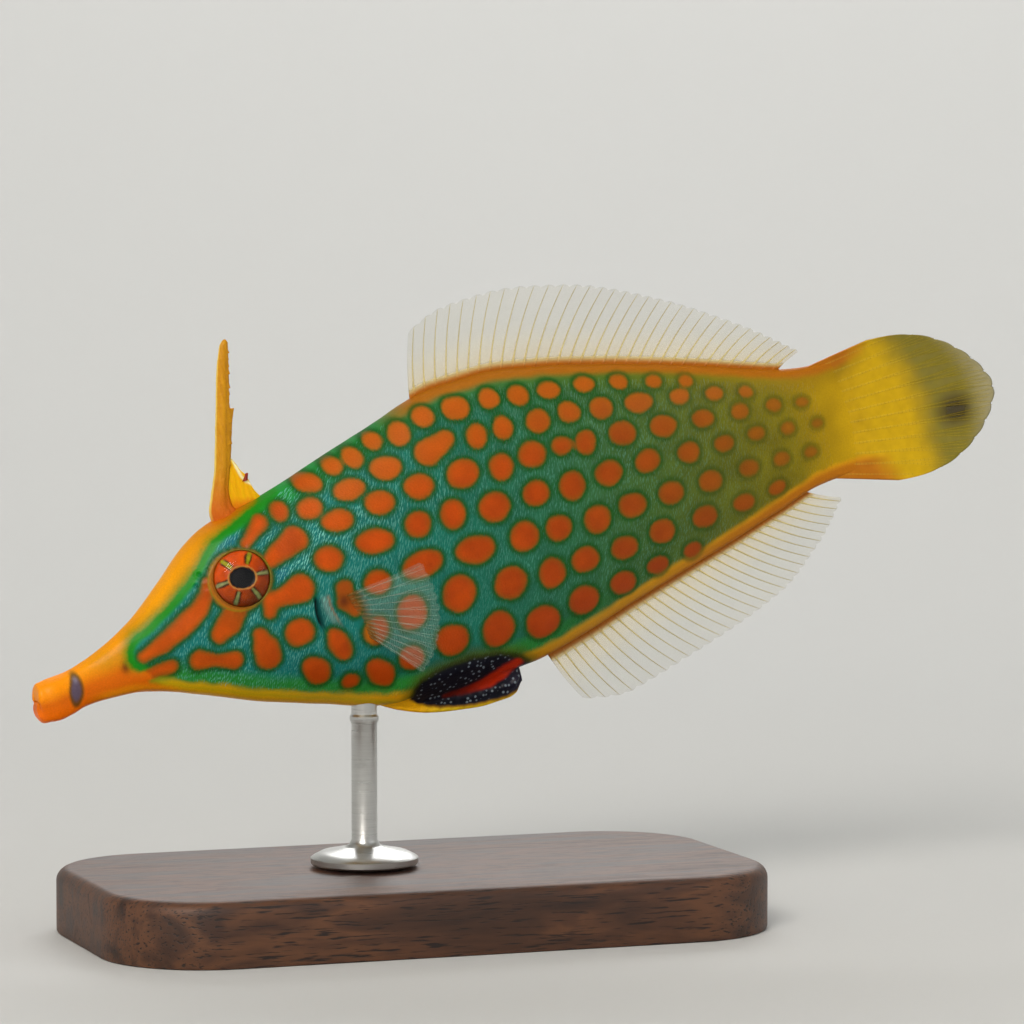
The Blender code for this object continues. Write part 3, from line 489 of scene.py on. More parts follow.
def fish_place(tree):
    """The place on the piece in millimetres of the fish frame's directions, for patterns of a real size."""
    place = add(tree, "TexCoord", {}).outputs["Object"]
    return add(tree, "Mapping", {"Rotation": (0.0, HEAD_DOWN, 0.0), "Scale": (1000, 1000, 1000)},
               {"Vector": place})


# Meshes
def nothing_selected():
    bpy.ops.object.select_all(action="DESELECT")


def named(name):
    """Takes the primitive that was just added under a name."""
    piece = bpy.context.object
    piece.name = name
    piece.data.name = name
    return piece


def grid(name, along, across):
    """A flat grid of that many faces each way, with each vertex's share along and across it."""
    nothing_selected()
    bpy.ops.mesh.primitive_grid_add(x_subdivisions=along, y_subdivisions=across, size=2)
    piece = named(name)
    flat = positions(piece)
    return piece, (flat[:, 0] + 1) / 2, (flat[:, 1] + 1) / 2


def positions(piece):
    """The places of a piece's vertices."""
    flat = np.empty(3 * len(piece.data.vertices))
    piece.data.vertices.foreach_get("co", flat)
    return flat.reshape(-1, 3)


def shaped(piece, points):
    """Moves a piece's vertices to fish frame points."""
    piece.data.vertices.foreach_set("co", placed(points).ravel())
    piece.data.update()
    return piece


def closed(piece, ends=True):
    """Merges a rolled grid along its seam, fills its open ends and turns its faces outwards."""
    nothing_selected()
    piece.select_set(True)
    bpy.context.view_layer.objects.active = piece
    bpy.ops.object.mode_set(mode="EDIT")
    bpy.ops.mesh.select_mode(type="VERT")
    bpy.ops.mesh.select_all(action="SELECT")
    bpy.ops.mesh.remove_doubles(threshold=0.000002)
    if ends:
        bpy.ops.mesh.select_all(action="DESELECT")
        bpy.ops.mesh.select_non_manifold()
        bpy.ops.mesh.edge_face_add()
    bpy.ops.mesh.select_all(action="SELECT")
    bpy.ops.mesh.normals_make_consistent(inside=False)
    bpy.ops.object.mode_set(mode="OBJECT")
    bpy.ops.object.shade_smooth()
    return piece


def note(piece, name, values):
    """Stores a number or a colour at each vertex, for the material to read."""
    values = np.asarray(values, float)
    kind = "FLOAT_COLOR" if values.ndim == 2 else "FLOAT"
    layer = piece.data.attributes.new(name, kind, "POINT")
    if kind == "FLOAT":
        layer.data.foreach_set("value", values.ravel())
    else:
        layer.data.foreach_set("color", np.column_stack((values, np.ones(len(values)))).ravel())


def finished(piece, use, slot, *nodes):
    """Gives a piece its material, its place on the body and the nodes that it stands for."""
    piece.data.materials.clear()
    piece.data.materials.append(use)
    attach(piece, "root")
    if nodes:
        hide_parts(*nodes)
    return piece


# The body's surface
def body_lines(x):
    """Top, foot and middle height of the body, its keel, half width and lens power, at each x."""
    top, foot = curve(BACK, x) - COAT, curve(BELLY, x) + COAT
    middle = foot + WIDEST * (top - foot)
    return top, foot, middle, curve(KEEL, x), curve(HALF_WIDTH, x) - COAT, curve(LENS, x)


def side_y(x, z):
    """How far the body's side is from its middle plane, at x and z."""
    top, foot, middle, keel, width, lens = body_lines(x)
    reach = np.where(z > middle, top - middle, middle - foot)
    share = np.clip((z - middle) / reach, -1, 1)
    return keel + (width - keel) * np.sqrt(1 - share ** 2) ** lens


def side_point(x, z, side):
    """The body surface's point at x and z, on the right (side 1) or the left (side -1)."""
    return np.array((x, side * float(side_y(x, z)), z))


def side_normal(x, z, side):
    """The way the body's surface faces there."""
    step = 0.4
    forward = side_point(x + step, z, side) - side_point(x - step, z, side)
    upward = side_point(x, z + step, side) - side_point(x, z - step, side)
    normal = unit(np.cross(forward, upward))
    return normal if normal[1] * side > 0 else -normal


def eye_frame(side):
    """The middle of an eyeball, the way it looks, and two ways across it, along the fish and up."""
    looks = side_normal(EYE_X, EYE_Z, side)
    centre = side_point(EYE_X, EYE_Z, side) + looks * (EYE_BULGE - EYE_HALF_DEPTH)
    forward = np.array((1.0, 0.0, 0.0))
    along_fish = unit(forward - looks * forward.dot(looks))
    up = np.cross(looks, along_fish)
    return centre, looks, along_fish, up if up[2] > 0 else -up


def round_the_eye(points):
    """Each point's distance from the axis of the eye on its side, and its turn round it from the rear."""
    near, turn = np.full(len(points), 99.0), np.zeros(len(points))
    for side in (1, -1):
        centre, _, along_fish, up = eye_frame(side)
        mine = points[:, 1] * side > 0.3
        rel = points[mine] - centre
        a, b = rel @ along_fish, rel @ up
        near[mine] = np.hypot(a, b)
        turn[mine] = np.arctan2(b, a)
    return near, turn


def eye_fold(turn):
    """How far the fold of skin lies outside the lid, at each turn round the eye: only in front and below."""
    return FOLD_REACH * np.maximum(0, -np.cos(turn - 0.25)) ** 0.7


def ring_places():
    """Where the skin's rings lie along the fish."""
    places = [LIP_FROM]
    while places[-1] < SKIN_END:
        places.append(places[-1] + float(curve(RING_SPACING, places[-1])))
    places[-1] = SKIN_END
    return np.array(places)


def outline(x, count):
    """Points round the body's section at x, from the foot up the right side and down the left.

    They lie closer together at the eye.
    """
    top, foot, middle, keel, width, lens = (float(v) for v in body_lines(x))
    angle = np.linspace(-math.pi / 2, math.pi / 2, 400)
    reach = np.where(angle > 0, top - middle, middle - foot)
    z = middle + reach * np.sin(angle)
    y = keel + (width - keel) * np.maximum(0, np.cos(angle)) ** lens
    over = np.maximum(z - (top - KEEL_ROUND), foot + KEEL_ROUND - z) / KEEL_ROUND
    y = y * np.sqrt(1 - np.clip(over, 0, 1) ** 2)
    crowded = 1 + 1.8 * mound(x - EYE_X, 4.5) * np.exp(-((z[1:] - EYE_Z) / 3.6) ** 4)
    run = np.concatenate(([0.0], np.cumsum(np.hypot(np.diff(y), np.diff(z)) * crowded)))
    even = np.linspace(0, run[-1], count // 2 + 1)
    right_y, right_z = np.interp(even, run, y), np.interp(even, run, z)
    y = np.concatenate((right_y, -right_y[-2::-1]))
    z = np.concatenate((right_z, right_z[-2::-1]))
    return np.stack((np.full(len(y), x), y, z), axis=-1)


def lip_rings(first):
    """The rings of the two lips, from the slit of the mouth out to the first ring of the body."""
    upper = eased(-0.9, 0.0, first[:, 2])
    corner = np.abs(first[:, 1]) / np.abs(first[:, 1]).max()
    reach = LIP_REACH[1] + (LIP_REACH[0] - LIP_REACH[1]) * upper
    reach = reach + (LIP_REACH[2] - reach) * eased(0.55, 1.0, corner)
    slit = first.copy()
    slit[:, 1] *= MOUTH_SHARE
    slit[:, 2] = MOUTH_HEIGHT + 0.03 * np.tanh((first[:, 2] - MOUTH_HEIGHT) / 0.2)
    rings = []
    for share in np.linspace(1.0, 0.0, LIP_ROWS, endpoint=False):
        ring = first + (slit - first) * (share ** 2 / (share ** 2 + (1 - share) ** 2))
        receding = 1 - 0.36 * (1 - upper) * float(eased(0.35, 1.0, share))
        ring[:, 0] = LIP_FROM - reach * receding * math.sin(LIP_ROLL * share ** 0.7)
        rings.append(ring)
    inner = slit.copy()
    inner[:, 0] = LIP_FROM + MOUTH_DEPTH
    return [inner, *rings]


def grid_normals(points):
    """The way a grid of points faces, away from the fish's middle."""
    along = np.gradient(points, axis=0)
    across = np.gradient(points, axis=1)
    across[:, 0] = across[:, -1] = points[:, 1] - points[:, -2]
    normals = unit(np.cross(across, along))
    middle = len(points) // 2, SKIN_COLUMNS // 4
    return normals if normals[middle][1] > 0 else -normals


def gill_line(share):
    """The x of a place on the gill opening, from its top (0) to its foot (1)."""
    return between(GILL_TOP[0], GILL_FOOT[0], share) + GILL_BOW * np.sin(np.pi * share)


def gill_place(x, z):
    """How far a place is behind the gill opening, and its share down it."""
    share = (z - GILL_TOP[1]) / (GILL_FOOT[1] - GILL_TOP[1])
    return x - gill_line(np.clip(share, 0, 1)), share


def skin_lift(points):
    """How far the skin stands off the plain body: lids, sockets, nostrils, gill openings and soft forms."""
    x, _, z = points.T
    lift = np.zeros(len(points))
    for at_x, at_z, length, height, rise in RELIEF:
        lift += rise * blot(x, z, at_x, at_z, length, height)
    near, turn = round_the_eye(points)
    fold = eye_fold(turn)
    lift += LID_HEIGHT * mound(near - LID_RING, LID_WIDTH)
    lift += 0.07 * eased(0.05, 0.35, fold) * mound(near - FOLD_FROM - fold, 0.12)
    lift -= SOCKET_DEPTH * eased(LID_RING - 0.02, LID_RING - 0.26, near)
    lift += 0.025 * np.sin(26 * turn) * mound(near - FOLD_FROM - fold - 0.35, 0.25)
    for cx, cz in NOSTRILS:
        far = np.hypot(x - cx, z - cz)
        lift += 0.05 * mound(far - 0.27, 0.11) - 0.24 * mound(far, 0.16)
    behind, share = gill_place(x, z)
    open_here = eased(-0.05, 0.12, share) * eased(1.1, 0.6, share)
    lift -= 0.5 * open_here * mound(behind, 0.15)
    lift += 0.12 * open_here * mound(behind + 0.4, 0.25)
    lift += 0.1 * open_here * mound(behind - 0.8 - 0.5 * share, 0.3)
    lift -= 0.03 * eased(1.9, 0.5, x) * mound(z - MOUTH_HEIGHT - 0.1 * x, 0.14)
    lift += 0.02 * smooth_noise(points, 1.6) + 0.03 * smooth_noise(points, 4.5, 1)
    return lift


def skin_grid():
    """The skin's points, ring by ring, and how they face."""
    rings = [outline(x, SKIN_COLUMNS) for x in ring_places()]
    rings = lip_rings(rings[0]) + rings
    points = np.array(rings)
    normals = grid_normals(points)
    flat = points.reshape(-1, 3)
    lift = skin_lift(flat).reshape(points.shape[:2])
    lift[:LIP_ROWS] *= 0.3
    points = points + normals * lift[..., None]
    return points, grid_normals(points)


# Markings
def chain_depth(x, z, chain):
    """How far inside a rounded chain of (x, z, half width) each place is; outside it is less than 0."""
    best = np.full(len(x), -99.0)
    for (ax, az, ar), (bx, bz, br) in zip(chain, chain[1:]):
        run = (bx - ax) ** 2 + (bz - az) ** 2
        t = np.clip(((x - ax) * (bx - ax) + (z - az) * (bz - az)) / run, 0, 1)
        far = np.hypot(x - ax - (bx - ax) * t, z - az - (bz - az) * t)
        best = np.maximum(best, ar + (br - ar) * t - far)
    return best


def spot_depth(x, z, spot):
    """How far inside an oval spot each place is."""
    cx, cz, length, height, tilt = spot
    c, s = math.cos(math.radians(tilt)), math.sin(math.radians(tilt))
    u = ((x - cx) * c + (z - cz) * s) / (length / 2)
    v = ((z - cz) * c - (x - cx) * s) / (height / 2)
    q = np.maximum(np.hypot(u, v), 1e-3)
    slope = np.hypot(u / (length / 2), v / (height / 2)) / q
    return np.minimum((1 - q) / slope, height / 2)


def area_depth(x, z, edge):
    """How far inside a closed outline each place is."""
    far = np.full(len(x), 99.0)
    inside = np.zeros(len(x), bool)
    for (ax, az), (bx, bz) in zip(edge, edge[1:] + edge[:1]):
        run = (bx - ax) ** 2 + (bz - az) ** 2
        t = np.clip(((x - ax) * (bx - ax) + (z - az) * (bz - az)) / run, 0, 1)
        far = np.minimum(far, np.hypot(x - ax - (bx - ax) * t, z - az - (bz - az) * t))
        if az != bz:
            crosses = (az > z) != (bz > z)
            inside ^= crosses & (x < ax + (z - az) / (bz - az) * (bx - ax))
    return np.where(inside, far, -far)


def dark_skin(x, z):
    """Colour of the blue-black skin over and on the flap, with its red streak, and how far it is flecked."""
    points = np.stack((x, 0 * x, z), axis=-1)
    streak = chain_depth(x, z, FLAP_STREAK) + 0.1 * smooth_noise(points, 1.0, 12)
    red = painted("#5A1208", ("#B82804", eased(38.0, 43.0, x)))
    colour = painted("#0A0B18", ("#2C2638", 0.5 * eased(42.5, 45.0, x)), (red, eased(-0.2, 0.25, streak)))
    return colour, eased(0.0, -0.3, streak)


def ground_colours(points, x, z, snout):
    """The ground: turquoise to olive, green along the back and belly, orange and yellow at the fins."""
    top, foot = curve(BACK, x), curve(BELLY, x)
    from_back = top - z + 0.3 * smooth_noise(points, 1.2, 6)
    from_belly = z - foot + 0.2 * smooth_noise(points, 1.2, 8)
    blue = blot(x, z, 21.3, 8.7, 1.6, 0.6) + blot(x, z, 24.0, 5.0, 0.8, 1.44)
    belly = eased(3.6, 2.2, from_belly) * eased(9.5, 12.0, x)
    anal_side = painted(
        ANAL_BASE_YELLOW,
        (FIN_BASE_ORANGE, eased(0.7, 0.2, z - foot)),
        (FIN_BASE_ORANGE, eased(56.0, 74.0, x)),
    )
    behind, share = gill_place(x, z)
    slit = eased(-0.02, 0.1, share) * eased(1.05, 0.6, share)
    rib = behind - 0.75 - 0.55 * share
    return painted(
        colours_along(GROUND, x) * (1 + 0.22 * smooth_noise(points, 2.2, 5))[:, None],
        (colours_along(BACK_GREEN, x), 0.9 * eased(3.0, 0.8, from_back) * eased(20.5, 23.0, x)),
        ("#0E5C80", 0.55 * np.minimum(blue, 1)),
        ("#168A14", eased(-1.0, -0.45, snout) * eased(-1.5, 0.5, z)),
        (BELLY_GREEN, 0.85 * belly * eased(60.0, 40.0, x)),
        (BELLY_YELLOW, eased(1.8, 0.9, from_belly) * eased(9.0, 11.5, x)),
        (FIN_BASE_ORANGE, 0.9 * eased(1.3, 0.5, top - z) * eased(37.0, 42.0, x)),
        (anal_side, 0.9 * eased(1.7, 0.8, z - foot) * eased(44.0, 47.0, x)),
        ("#7F9C94", 0.6 * slit * mound(rib, 0.28)),
        ("#B06838", 0.5 * slit * mound(rib - 0.4, 0.14)),
        # Dark teal and near-black in and behind the gill opening's groove: painted shade
        ("#0E3A3A", 0.6 * slit * mound(behind - 0.3, 0.3)),
        ("#140806", slit * mound(behind, 0.17)),
    )


def mark_colours(points, x, z, height, spots):
    """The orange of the bands and spots: redder low on the side, and browner at the rims and by the eye."""
    brown = blot(x, z, 19.4, 2.7, 1.2, 1.2) + blot(x, z, 29.1, 0.7, 1.6, 1.6)
    grain = 1 + 0.25 * smooth_noise(points, 2.4, 9) + 0.15 * smooth_noise(points, 0.8, 10)
    return painted(
        colours_along(SPOT_ORANGE, x) * grain[:, None],
        ("#80500A", 0.65 * eased(0.6, 0.05, spots)),
        ("#BA6410", 0.55 * (eased(0.62, 0.95, height) * eased(24.0, 34.0, x))),
        ("#A03400", 0.5 * eased(0.35, 0.05, height) * eased(15.0, 24.0, x)),
        ("#8A4A06", 0.8 * np.minimum(brown, 1)),
        ("#4A1C08", 0.8 * blot(x, z, 28.9, 0.6, 0.45, 0.6)),
        ("#C87A0A", 0.6 * blot(x, z, 30.4, -3.0, 0.5, 1.4)),
    )


def snout_colours(x, z, height, from_belly, snout):
    """The orange of the snout and forehead, with painted shade of the fold behind the lips, a dark
    lens-shaped blotch with a small painted highlight.
    """
    lens = blot(x - 0.17 * (z + 0.3), z, 3.52, -0.3, 0.62, 1.45)
    return painted(
        "#D86600",
        ("#EE9600", eased(0.42, 0.9, height)),
        ("#F87200", eased(0.5, 0.1, height) * eased(5.0, 2.5, x)),
        ("#FA9200", 0.8 * eased(0.45, 0.8, height) * eased(5.5, 2.5, x)),
        ("#EEA004", 0.7 * eased(0.8, 1.0, height) * eased(8.0, 13.0, x)),
        ("#C08A08", 0.6 * blot(x, z, 7.2, 1.3, 1.5, 0.9)),
        ("#A88404", 0.8 * eased(1.1, 0.1, snout) * eased(-1.2, 0.6, z)),
        ("#D88A04", 0.7 * eased(14.0, 19.0, x)),
        ("#C46404", 0.9 * np.minimum(1.3 * blot(x, z, 22.0, 10.9, 2.6, 1.5), 1)),
        ("#5A2008", 0.8 * blot(x, z, 8.35, 0.3, 0.35, 0.5)),
        # Painted shade of the fold behind the lips: dark edges round a grey-purple core
        ("#3A3A10", 0.85 * eased(0.18, 0.42, lens)),
        ("#5A4C5E", eased(0.42, 0.78, lens)),
        # A small painted highlight on that fold
        ("#8A869A", 0.6 * blot(x, z, 3.7, 0.6, 0.2, 0.3)),
        ("#F09A10", 0.6 * (eased(1.3, 0.5, from_belly) * eased(4.0, 7.0, x))),
        (BELLY_YELLOW, eased(10.0, 15.0, x) * eased(2.5, 1.2, from_belly)),
    )


def markings(points):
    """The skin's colours at fish frame points, and how deep each is in an orange mark and the dark patch."""
    wobble = points * (1.0, 0.2, 1.0)
    x = points[:, 0] + 0.13 * smooth_noise(wobble, 1.5, 3)
    z = points[:, 2] + 0.13 * smooth_noise(wobble, 1.5, 4)
    foot = curve(BELLY, x)
    height = (z - foot) / (curve(BACK, x) - foot)
    near, turn = round_the_eye(points)

    depths = [spot_depth(x, z, spot) for spot in SPOTS] + [chain_depth(x, z, band) for band in BANDS]
    softness = 0.12
    spots = softness * np.log(sum(np.exp(np.clip(d, -3, 3) / softness) for d in depths))
    snout = area_depth(x, z, SNOUT_EDGE)
    inner_share = 0.42 + 0.3 * eased(0.5, -0.6, z) * eased(13.5, 12.0, x)
    patch = area_depth(x, z, PATCH_EDGE)

    ground = ground_colours(points, x, z, snout)
    rim_colour = painted(
        GREEN_RIM,
        ("#167E0A", eased(-1.1, -0.4, snout)),
        ("#C8A80C", eased(2.0, 1.1, z - foot) * eased(9.5, 12.0, x) * eased(36.0, 33.0, x)),
        (0.7 * ground, 0.8 * eased(54.0, 72.0, x)),
        ("#2A3006", eased(-1.0, -0.3, patch)),
    )
    fold = eye_fold(turn)
    rim = LID_RING + 0.04 + fold
    lid = painted("#5A4A08", ("#A4600A", np.clip(fold / 0.25, 0, 1)))
    dark, flecks = dark_skin(points[:, 0], points[:, 2])
    mark = painted(
        mark_colours(points, x, z, height, spots),
        (snout_colours(x, z, height, z - foot, snout), eased(-0.5, -0.1, snout)),
        (lid, eased(rim + 0.14, rim, near)),
        ("#8E7A12", 0.8 * mound(near - rim, 0.07)),
        ("#3A1C06", 0.5 * mound(near - LID_RING - 0.08, 0.06) * eased(0.1, 0.3, fold)),
        # Dark brown down the socket wall round the eye: painted shade of the gap between lid and ball
        ("#4A2408", eased(LID_RING - 0.03, LID_RING - 0.16, near)),
        (dark, eased(-0.35, -0.2, patch)),
    )
    ground = painted(ground, ("#4A5606", 0.8 * eased(-1.6, -0.2, patch)))
    soft_snout = snout * np.where(snout > 0, inner_share, 0.75)
    deep = np.maximum(np.maximum(spots, soft_snout), np.maximum(rim + 0.12 - near, patch))
    return {"ground": np.clip(ground, 0, 1), "mark": np.clip(mark, 0, 1), "rim": np.clip(rim_colour, 0, 1),
            "depth": np.clip(deep, -2, 2), "flecks": flecks * eased(-0.05, 0.15, patch)}


# Skin
def skin_finish(name):
    """Filefish skin, thin and tough, grown with fine prickles: velvety relief under a thin wet gloss.

    Orange marks with a dark green rim lie on a turquoise ground. The prickles are tinted pale cyan, partly
    their own colour and partly a painted highlight. The dark skin on and over the flap is flecked.
    """
    made, tree, shader = material(name)
    ground, mark, rim_colour = (add(tree, "Attribute", {"attribute_name": part}).outputs["Color"]
                                for part in ("ground", "mark", "rim"))
    depth, flecks, pale = (add(tree, "Attribute", {"attribute_name": part}).outputs["Fac"]
                           for part in ("depth", "flecks", "pale"))
    place = fish_place(tree)

    ragged = add(tree, "TexNoise", {"Scale": 4.0, "Detail": 2.0}, {"Vector": place})
    frayed = add(tree, "Math", {"operation": "MULTIPLY_ADD", 1: 0.16, 2: -0.08}, {0: ragged})
    edge = add(tree, "Math", {"operation": "ADD"}, {0: depth, 1: frayed})
    inside = add(tree, "MapRange", {**SOFT_STEP, 1: -0.18, 2: 0.26}, {0: edge})
    rim = add(tree, "MapRange", {**SOFT_STEP, 1: -0.62, 2: -0.1, 4: 0.9}, {0: edge})

    # Pale cyan on the prickles: partly their own paler colour, partly a painted highlight
    pale_streaks_and_painted_highlight = add(tree, "Mix", {**COLOURS, 7: tint("#7FD0C0")}, {0: pale, 6: ground})
    rimmed = add(tree, "Mix", COLOURS, {0: rim, 6: pale_streaks_and_painted_highlight, 7: rim_colour})
    spotted = add(tree, "Mix", COLOURS, {0: inside, 6: rimmed, 7: mark})
    speck = add(tree, "TexVoronoi", {"Scale": 2.0, "Randomness": 0.85}, {"Vector": place})
    round_speck = add(tree, "MapRange", {**SOFT_STEP, 1: 0.34, 2: 0.16, 4: 0.7}, {0: speck})
    shown = add(tree, "Math", {"operation": "MULTIPLY"}, {0: round_speck, 1: flecks})
    patched = add(tree, "Mix", {**COLOURS, 7: tint("#7E8A94")}, {0: shown, 6: spotted})
    grain = add(tree, "TexNoise", {"Scale": 6.5, "Detail": 3.0}, {"Vector": place})
    grained = add(tree, "MapRange", {3: 0.82, 4: 1.18}, {0: grain})
    varied = add(tree, "Mix", MULTIPLIED, {6: patched, 7: grained})

    pores = add(tree, "TexVoronoi", {"Scale": 7.0, "feature": "SMOOTH_F1"}, {"Vector": place})
    fine = add(tree, "TexNoise", {"Scale": 3.0, "Detail": 4.0}, {"Vector": place})
    both = add(tree, "Math", {"operation": "MULTIPLY_ADD", 1: 0.6}, {0: fine, 2: pores})
    rough = add(tree, "MapRange", {3: 0.34, 4: 0.58}, {0: fine})
    surfaced(tree, shader, varied, both, (0.35, 0.00006),
             {"IOR": 1.4, "Specular IOR Level": 0.16, "Coat Weight": 0.07, "Coat Roughness": 0.18}, rough)
    return made


def skin(points, use):
    """One continuous skin from the lips to the root of the tail fin."""
    rows, columns = points.shape[:2]
    piece, along, across = grid("skin", rows - 1, columns - 1)
    row = np.rint(along * (rows - 1)).astype(int)
    column = np.rint(across * (columns - 1)).astype(int)
    places = points[row, column]
    shaped(piece, places)
    for name, values in markings(places).items():
        note(piece, name, values)
    note(piece, "pale", np.zeros(len(places)))
    closed(piece)
    return finished(piece, use, "blue_green_skin",
                    "upper_jaw", "lower_jaw", "snout", "head", "trunk", "tail_stem")


# Prickles
PRICKLE_ACROSS = 0.17  # spacing along the fish
PRICKLE_ALONG = 0.42  # spacing down the side
PRICKLE_FROM = 8.5
PRICKLE_TO = 80.5
PRICKLE_LENGTH = 0.62
PRICKLE_WIDTH = 0.115
PRICKLE_HEIGHT = 0.055


def prickle():
    """One prickle, a slender closed spindle with a sharp ridge: its points, of unit size, and its faces."""
    nothing_selected()
    bpy.ops.mesh.primitive_uv_sphere_add(segments=4, ring_count=2, radius=1)
    pattern = bpy.context.object
    points = positions(pattern)
    faces = [tuple(f.vertices) for f in pattern.data.polygons]
    bpy.data.objects.remove(pattern)
    return points, faces


def read_grid(grid_points, row, column):
    """Reads a grid of points between its rows and columns."""
    r, c = np.floor(row).astype(int), np.floor(column).astype(int)
    r, c = np.clip(r, 0, len(grid_points) - 2), np.clip(c, 0, grid_points.shape[1] - 2)
    u, v = (row - r)[:, None], (column - c)[:, None]
    near = grid_points[r, c] * (1 - v) + grid_points[r, c + 1] * v
    far = grid_points[r + 1, c] * (1 - v) + grid_points[r + 1, c + 1] * v
    return near * (1 - u) + far * u


def prickle_lean(x, z):
    """Degrees by which the prickles lean back from the fish's own upright."""
    nape = mound(x - 24.0, 9.0) * eased(1.0, 6.0, z)
    return 18.0 + 22.0 * nape


def prickle_roots(points, side, draw):
    """Where prickles may grow on one side: rows and columns on the skin's grid."""
    rings = points[:, SKIN_COLUMNS // 4, 0]
    first = LIP_ROWS + 1
    x = np.arange(PRICKLE_FROM, PRICKLE_TO, PRICKLE_ACROSS)
    rows, columns = [], []
    for n, at in enumerate(x):
        row = np.interp(at, rings[first:], np.arange(first, len(rings)))
        ring = points[int(row), :SKIN_COLUMNS // 2 + 1]
        run = np.concatenate(([0.0], np.cumsum(np.linalg.norm(np.diff(ring, axis=0), axis=1))))
        count = max(4, int(run[-1] / PRICKLE_ALONG))
        share = (np.arange(count) + 0.5 * (n % 2) + draw.uniform(-0.3, 0.3, count)) / count
        share = share[(share > 0.02) & (share < 0.98)]
        column = np.interp(share * run[-1], run, np.arange(len(run)))
        columns.append(column if side > 0 else SKIN_COLUMNS - column)
        rows.append(np.full(len(share), row) + draw.uniform(-0.25, 0.25, len(share)))
    return np.concatenate(rows), np.concatenate(columns)


def bare(points, found):
    """True where no prickles grow: on the marks, the dark patch, the eyes and the roots of the fins."""
    x, z = points[:, 0], points[:, 2]
    near, _ = round_the_eye(points)
    top, foot = curve(BACK, x), curve(BELLY, x)
    behind, share = gill_place(x, z)
    slit = (np.abs(behind) < 0.3) & (share > -0.05) & (share < 1.0)
    pectoral = blot(x, z, 30.2, -1.2, 1.0, 2.6) > 0.5
    edges = (top - z < 0.5 + 1.0 * (x > 39)) | (z - foot < 1.1 + 0.5 * (x > 45))
    beside_snout = area_depth(x, z, SNOUT_EDGE) > -0.8
    return (found["depth"] > -0.12) | (near < LID_RING + 0.3) | slit | pectoral | edges | beside_snout


def prickles(name, points, normals, side, use):
    """The coat of one side: short spindles lying in rows over the coloured ground."""
    draw = np.random.default_rng(SEED + side)
    rows, columns = prickle_roots(points, side, draw)
    roots = read_grid(points, rows, columns)
    found = markings(roots)
    keep = ~bare(roots, found)
    roots, rows, columns = roots[keep], rows[keep], columns[keep]
    found = {key: values[keep] for key, values in found.items()}
    faces_out = unit(read_grid(normals, rows, columns))
    count = len(roots)

    lean = np.radians(prickle_lean(roots[:, 0], roots[:, 2]) + draw.normal(0, 5, count))
    way = np.stack((np.sin(lean), np.zeros(count), np.cos(lean)), axis=-1)
    way = unit(way - faces_out * np.sum(way * faces_out, axis=1)[:, None])
    across = np.cross(way, faces_out)
    size = draw.uniform(0.7, 1.25, count)
    size *= np.interp(roots[:, 0], (8, 14, 30, 82), (0.6, 0.85, 1.0, 0.8))
    length = PRICKLE_LENGTH / 2 * size
    width = PRICKLE_WIDTH / 2 * draw.uniform(0.8, 1.25, count)
    height = PRICKLE_HEIGHT * draw.uniform(0.7, 1.2, count)

    pattern, faces = prickle()
    spread = (
        roots[:, None]
        + way[:, None] * (pattern[:, 0] * length[:, None])[..., None]
        + across[:, None] * (pattern[:, 1] * width[:, None])[..., None]
        + faces_out[:, None] * (pattern[:, 2] * height[:, None] - 0.01)[..., None]
    )
    mesh = bpy.data.meshes.new(name)
    step = len(pattern)
    all_faces = [tuple(n * step + i for i in face) for n in range(count) for face in faces]
    mesh.from_pydata(placed(spread.reshape(-1, 3)), [], all_faces)
    piece = bpy.data.objects.new(name, mesh)
    bpy.context.scene.collection.objects.link(piece)
    for key, values in found.items():
        note(piece, key, np.repeat(values, step, axis=0))
    x, z = roots[:, 0], roots[:, 2]
    # How pale each prickle is: partly its own paler colour, partly a painted highlight laid on strongest
    # over the nape and the cheek
    strength = 0.16 + 0.75 * blot(x, z, 27, 8, 10, 5) + 0.4 * blot(x, z, 20, 0, 9, 5)
    strength *= 1 + 0.6 * smooth_noise(roots, 2.5, 11)
    strength *= eased(82.0, 60.0, x) * eased(-9.5, -5.0, z)
    paleness_and_painted_highlight = draw.uniform(0, 1, count) ** 0.8 * np.clip(strength, 0.03, 1.0)
    note(piece, "pale", np.repeat(paleness_and_painted_highlight, step))
    prickle_map(piece, roots, columns, pattern, count)
    return finished(piece, use, "blue_green_skin")


def prickle_map(piece, roots, columns, pattern, count):
    """Lays each prickle out as a small patch at its root's place on an unrolled skin."""
    patch = 0.0015
    across = np.clip(columns / SKIN_COLUMNS, 0, 1)
    centre = np.stack((0.01 + 0.97 * roots[:, 0] / SKIN_END, 0.01 + 0.98 * across), axis=-1)
    spots = centre[:, None] + pattern[None, :, :2] * patch
    layer = piece.data.uv_layers.new(name="OFBake")
    corners = np.empty(len(piece.data.loops), dtype=np.int32)
    piece.data.loops.foreach_get("vertex_index", corners)
    layer.data.foreach_set("uv", spots.reshape(-1, 2)[corners].ravel())


# Eyes
PUPIL_CENTRE = (0.02, 0.0)
SPOKES = (  # turn in degrees from the tail side, half width, colour
    (-4, 0.15, "#8E965A"), (54, 0.17, "#8E9214"), (121, 0.18, "#989610"), (180, 0.14, "#868E5E"),
    (238, 0.17, "#828E54"), (295, 0.16, "#8A9452"),
)


def iris_finish():
    """Iris of a fish's eye, a sheet of pigment cells over a silver layer, seen through a wet cornea."""
    made, tree, shader = material("fish_iris_pigment_under_cornea")
    colour = add(tree, "Attribute", {"attribute_name": "iris"})
    grain = add(tree, "TexNoise", {"Scale": 5.0, "Detail": 4.0}, {"Vector": fish_place(tree)})
    grained = add(tree, "MapRange", {3: 0.75, 4: 1.25}, {0: grain})
    varied = add(tree, "Mix", MULTIPLIED, {6: colour, 7: grained})
    surfaced(tree, shader, varied, grain, (0.3, 0.00005), {"Roughness": 0.35, "Specular IOR Level": 0.15})
    return made


